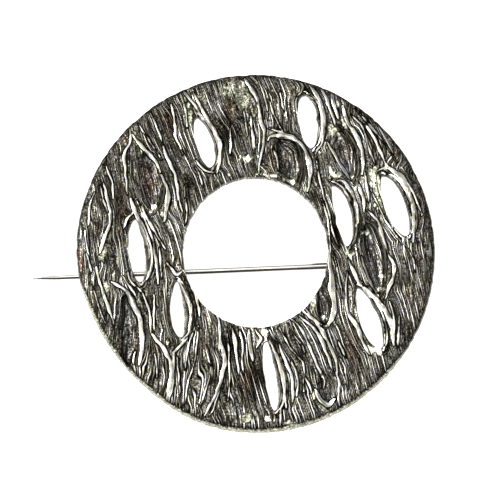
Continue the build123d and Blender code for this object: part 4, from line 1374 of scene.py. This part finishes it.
hinge_bracket = block(
    "hinge_bracket",
    (hinge_reach - bracket_length / 2, -ear_outside, pin_depth - bracket_thickness),
    (hinge_reach + bracket_length / 2, ear_outside, pin_depth + solder_depth),
)
for side in (-1, 1):
    inner, outer = sorted((side * ear_inside, side * ear_outside))
    ear = block(
        "ear",
        (hinge_reach - ear_radius, inner, -ear_radius),
        (hinge_reach + ear_radius, outer, pin_depth - bracket_thickness / 2),
    )
    round_edges(ear, low_edge, ear_round_share * ear_radius, segments=14)
    cut_by(hinge_bracket, ear, "UNION")
cut_by(
    hinge_bracket,
    rod("drill", (hinge_reach, 0, 0), rivet_radius + rivet_fit, 4 * ear_outside),
    "DIFFERENCE",
)
soften(hinge_bracket, edge_softness)
hinge_bracket.data.transform(on_pin_line)

hinge_bracket.data.materials.append(satin_silver)
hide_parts("ring_plate")
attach(hinge_bracket, "ring")

# The catch. A small silver block soldered to the back near the left edge, with a slot that the
# pin's wire snaps up into. The slot is open on the side that the pin swings out of.

catch_reach = 25.3
catch_length = 3.2
catch_fit = 0.12
catch_corner = 0.4
catch_drop = ear_radius
pin_middle_reach = 5.0
pin_middle_radius = 0.5
pin_neck_reach = 33.8
pin_neck_radius = 0.38


def pin_radius(reach):
    """The radius of the wire at a reach along it, between its even middle and its neck."""
    part = (abs(reach) - pin_middle_reach) / (pin_neck_reach - pin_middle_reach)
    return pin_middle_radius + (pin_neck_radius - pin_middle_radius) * part


def upright_edge(start, end):
    """Whether an edge stands square to the back."""
    upright = max(abs(start.x - end.x), abs(start.y - end.y)) < edge_tolerance
    return upright and abs(start.z - end.z) > edge_tolerance


slot_radius = pin_radius(catch_reach - catch_length / 2) + catch_fit
catch = block(
    "catch",
    (-catch_reach - catch_length / 2, -ear_outside, -catch_drop),
    (-catch_reach + catch_length / 2, ear_outside, pin_depth + solder_depth),
)
round_edges(catch, upright_edge, catch_corner, segments=6)
slot = rod("slot", (-catch_reach, 0, 0), slot_radius, 2 * catch_length, along_pin=True)
cut_by(catch, slot, "DIFFERENCE")
mouth = block(
    "mouth",
    (-catch_reach - catch_length, -slot_radius, -2 * catch_drop),
    (-catch_reach + catch_length, slot_radius, 0),
)
cut_by(catch, mouth, "DIFFERENCE")
soften(catch, edge_softness)
catch.data.transform(on_pin_line)
catch.data.materials.append(satin_silver)
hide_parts("ring_plate")
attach(catch, "ring")

# The hinge rivet. A short piece of silver wire through the ears, whose two ends were hammered over
# into low round heads.

rivet_head_radius = 0.75
rivet_head_height = 0.3
rivet_head_softness = 0.096
rivet_wear = 0.6


def keep_light_and_wear(obj, light_and_wear):
    """Keeps on a mesh how bright each vertex is, from how worn it is and from painted light."""
    lit_and_rubbed = obj.data.attributes.new("lit_and_rubbed", "FLOAT", "POINT")
    lit_and_rubbed.data.foreach_set("value", light_and_wear.astype(np.float32))


rivet_reach = ear_outside + rivet_fit
rivet = rod("rivet", (hinge_reach, 0, 0), rivet_radius, 2 * rivet_reach + rivet_head_height)
for side in (-1, 1):
    head_middle = side * (rivet_reach + rivet_head_height / 2)
    head = rod("head", (hinge_reach, head_middle, 0), rivet_head_radius, rivet_head_height)
    cut_by(rivet, head, "UNION")
soften(rivet, rivet_head_softness)
keep_light_and_wear(rivet, np.full(len(rivet.data.vertices), rivet_wear))
rivet.data.transform(on_pin_line)

# Drawn silver wire: pulled through a plate and polished. Its colour is light where the wire faces
# the light and dark on its other sides and where it is shaded, a painted highlight and painted
# shade, with faint marks along it. Real marks are finer: these are as coarse as they need to be to
# show. The sizes are in millimetres.

wire_mark_length = 16.67
wire_mark_width = 0.1667

drawn_silver, tree, shader, place = new_metal("drawn_silver_wire")
across_marks = 1 / (wire_mark_width * mm)
along_wire = add_node(
    tree, "ShaderNodeMapping", {"Vector": place},
    Scale=(1 / (wire_mark_length * mm), across_marks, across_marks),
).outputs["Vector"]
marks = add_node(
    tree, "ShaderNodeTexNoise", {"Vector": along_wire}, Scale=1.0, Detail=3.0
).outputs["Fac"]
lit_and_rubbed = add_node(
    tree, "ShaderNodeAttribute", settings={"attribute_name": "lit_and_rubbed"}
).outputs["Fac"]
# The painted highlight and shade, and the wear, from each point's stored value
lit_polish = add_node(
    tree, "ShaderNodeMapRange", {"Value": lit_and_rubbed}, From_Min=-0.05, From_Max=0.80, To_Min=-0.25,
    To_Max=0.45,
).outputs["Result"]
lit_polish = add_node(
    tree, "ShaderNodeMath", {0: lit_polish, 1: marks}, {"operation": "ADD"}
).outputs["Value"]
tone = add_node(tree, "ShaderNodeValToRGB", {"Fac": lit_polish}, stops=(
    (0.1, "#24231f"), (0.45, "#605d56"), (0.9, "#e2e0d8"),
)).outputs["Color"]
tree.links.new(tone, shader.inputs["Base Color"])
rough = add_node(
    tree, "ShaderNodeMapRange", {"Value": marks}, From_Min=0.3, From_Max=0.7, To_Min=0.3,
    To_Max=0.16,
).outputs["Result"]
tree.links.new(rough, shader.inputs["Roughness"])
rivet.data.materials.append(drawn_silver)
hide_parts("hinge_rivet")
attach(rivet, "ring")

# The pin. Hard silver wire with a flat eye that turns on the rivet. It is thickest at the eye,
# even across the middle of the ring, slimmer towards the catch, and filed to a sharp point.

pin_root_radius = 0.58
dark_root_reach = 10.3
dark_root_radius = 0.532
bright_root_reach = 8.3
bright_root_radius = 0.520
pin_round_reach = 37.6
pin_round_radius = 0.20
pin_tip_reach = 37.8
pin_point_radius = 0.04
eye_radius = 1.05
eye_fit = 0.05
eye_softness = 0.05

PinStation = namedtuple("PinStation", "reach radius")
stations = (
    PinStation(hinge_reach, pin_root_radius),
    PinStation(dark_root_reach, dark_root_radius),
    PinStation(bright_root_reach, bright_root_radius),
    PinStation(pin_middle_reach, pin_middle_radius),
    PinStation(-pin_middle_reach, pin_middle_radius),
    PinStation(-catch_reach, pin_radius(catch_reach)),
    PinStation(-pin_neck_reach, pin_neck_radius),
    PinStation(-pin_round_reach, pin_round_radius),
    PinStation(-pin_tip_reach, pin_point_radius),
)
bpy.ops.object.select_all(action="DESELECT")
bpy.ops.mesh.primitive_circle_add(
    vertices=40,
    radius=pin_root_radius * mm,
    fill_type="NGON",
    location=(hinge_reach * mm, 0.0, 0.0),
    rotation=(0.0, pi / 2, 0.0),
)
bpy.ops.object.transform_apply(location=True, rotation=True, scale=False)
pin = bpy.context.object
pin.name = "pin"
bpy.ops.object.mode_set(mode="EDIT")
for before, station in zip(stations, stations[1:]):
    step = (station.reach - before.reach) * mm
    bpy.ops.mesh.extrude_region_move(TRANSFORM_OT_translate={"value": (step, 0.0, 0.0)})
    slimmer = station.radius / before.radius
    bpy.ops.transform.resize(value=(slimmer, slimmer, slimmer))
bpy.ops.mesh.select_all(action="SELECT")
bpy.ops.mesh.normals_make_consistent(inside=False)
bpy.ops.object.mode_set(mode="OBJECT")
cut_by(pin, rod("eye", (hinge_reach, 0, 0), eye_radius, eye_width, corners=64), "UNION")
cut_by(pin, rod("drill", (hinge_reach, 0, 0), rivet_radius + eye_fit, 2 * eye_width), "DIFFERENCE")
soften(pin, eye_softness)

# The wire's colour is lightest on the side that faces up the brooch and to the front, a painted
# highlight, with painted shade on its other sides and a painted shadow of the ring over the top of
# its root. It is also darker towards its filed point.

lit_way = (0.0, 0.8, 0.6)
root_shade = 1.1
shade_start = 0.1
shade_end = 0.6
point_reach = 34.0
point_fade = 1.0
point_dullness = 0.35

along = corners_of(pin)[:, 0]
normals = np.empty(3 * len(along))
pin.data.vertices.foreach_get("normal", normals)
normals = normals.reshape(-1, 3)
at_root = (along - bright_root_reach) / (dark_root_reach - bright_root_reach)
facing_up = (normals[:, 1] - shade_start) / (shade_end - shade_start)
at_point = (-along - point_reach) / point_fade
# Painted highlight and shade by the way each point faces, less a painted shadow at the root
light_and_wear = normals @ lit_way
light_and_wear -= root_shade * np.clip(at_root, 0.0, 1.0) * np.clip(facing_up, 0.0, 1.0)
light_and_wear -= point_dullness * np.clip(at_point, 0.0, 1.0)
keep_light_and_wear(pin, light_and_wear)
pin.data.transform(on_pin_line)
pin.data.materials.append(drawn_silver)
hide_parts("pin_stem")
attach(pin, "pin")

# The floor, the lights and the camera. The floor is a pale opal sheet with a weak light under it.
# A large soft light hangs above, a smaller one stands at the left, and the camera looks down.

bpy.ops.object.select_all(action="DESELECT")
bpy.ops.mesh.primitive_plane_add(size=4.0)
floor = bpy.context.object
floor.name = "floor"
opal = bpy.data.materials.new("opal_acrylic_sheet")
opal.use_nodes = True
shader = opal.node_tree.nodes["Principled BSDF"]
shader.inputs["Base Color"].default_value = linear("#f4f3f0")
shader.inputs["Roughness"].default_value = 0.9
shader.inputs["Emission Color"].default_value = linear("#ffffff")
shader.inputs["Emission Strength"].default_value = 0.75
floor.data.materials.append(opal)

SoftLight = namedtuple("SoftLight", "name size power place")
for light in (
    SoftLight("overhead_softbox", 0.60, 2.6, (-0.10, 0.10, 0.80)),
    SoftLight("left_softbox", 0.24, 2.6, (-0.42, 0.16, 0.30)),
):
    bpy.ops.object.light_add(type="AREA", location=light.place)
    lamp = bpy.context.object
    lamp.name = light.name
    lamp.data.size = light.size
    lamp.data.energy = light.power
    lamp.rotation_euler = (-Vector(light.place)).to_track_quat("-Z", "Y").to_euler()

world = bpy.data.worlds.new("studio")
world.use_nodes = True
world.node_tree.nodes["Background"].inputs["Color"].default_value = linear("#e9ebee")
world.node_tree.nodes["Background"].inputs["Strength"].default_value = 0.62
bpy.context.scene.world = world
bpy.context.scene.view_settings.view_transform = "Standard"

# ring_centre is where the middle of the ring is in the picture, from its upper left corner, and
# pixel is the size of one on the ring.

picture_width = 500
picture_height = 478
pixel = 0.168 * mm
ring_centre = (255.5, 250.6)
sensor_width = 36.0
camera_distance = 400 * mm
camera_tilt = 3.0
camera_turn = 0.6
ring_middle = leaning @ Vector((0.0, 0.0, ground_thickness * mm))
bpy.ops.object.camera_add()
camera = bpy.context.object
away = Vector((-sin(radians(camera_turn)), -sin(radians(camera_tilt)), 1.0)).normalized()
across = Vector((1.0, 0.0, 0.0))
across = (across - across.dot(away) * away).normalized()
upward = away.cross(across)
camera.rotation_euler = Matrix((across, upward, away)).transposed().to_euler()
aim = (picture_width / 2 - ring_centre[0]) * pixel * across
aim += (ring_centre[1] - picture_height / 2) * pixel * upward
camera.location = ring_middle + away * camera_distance + aim
camera.data.sensor_width = sensor_width
camera.data.lens = sensor_width * camera_distance / (picture_width * pixel)
camera.data.clip_start = 0.01
camera.data.clip_end = 10.0
bpy.context.scene.camera = camera
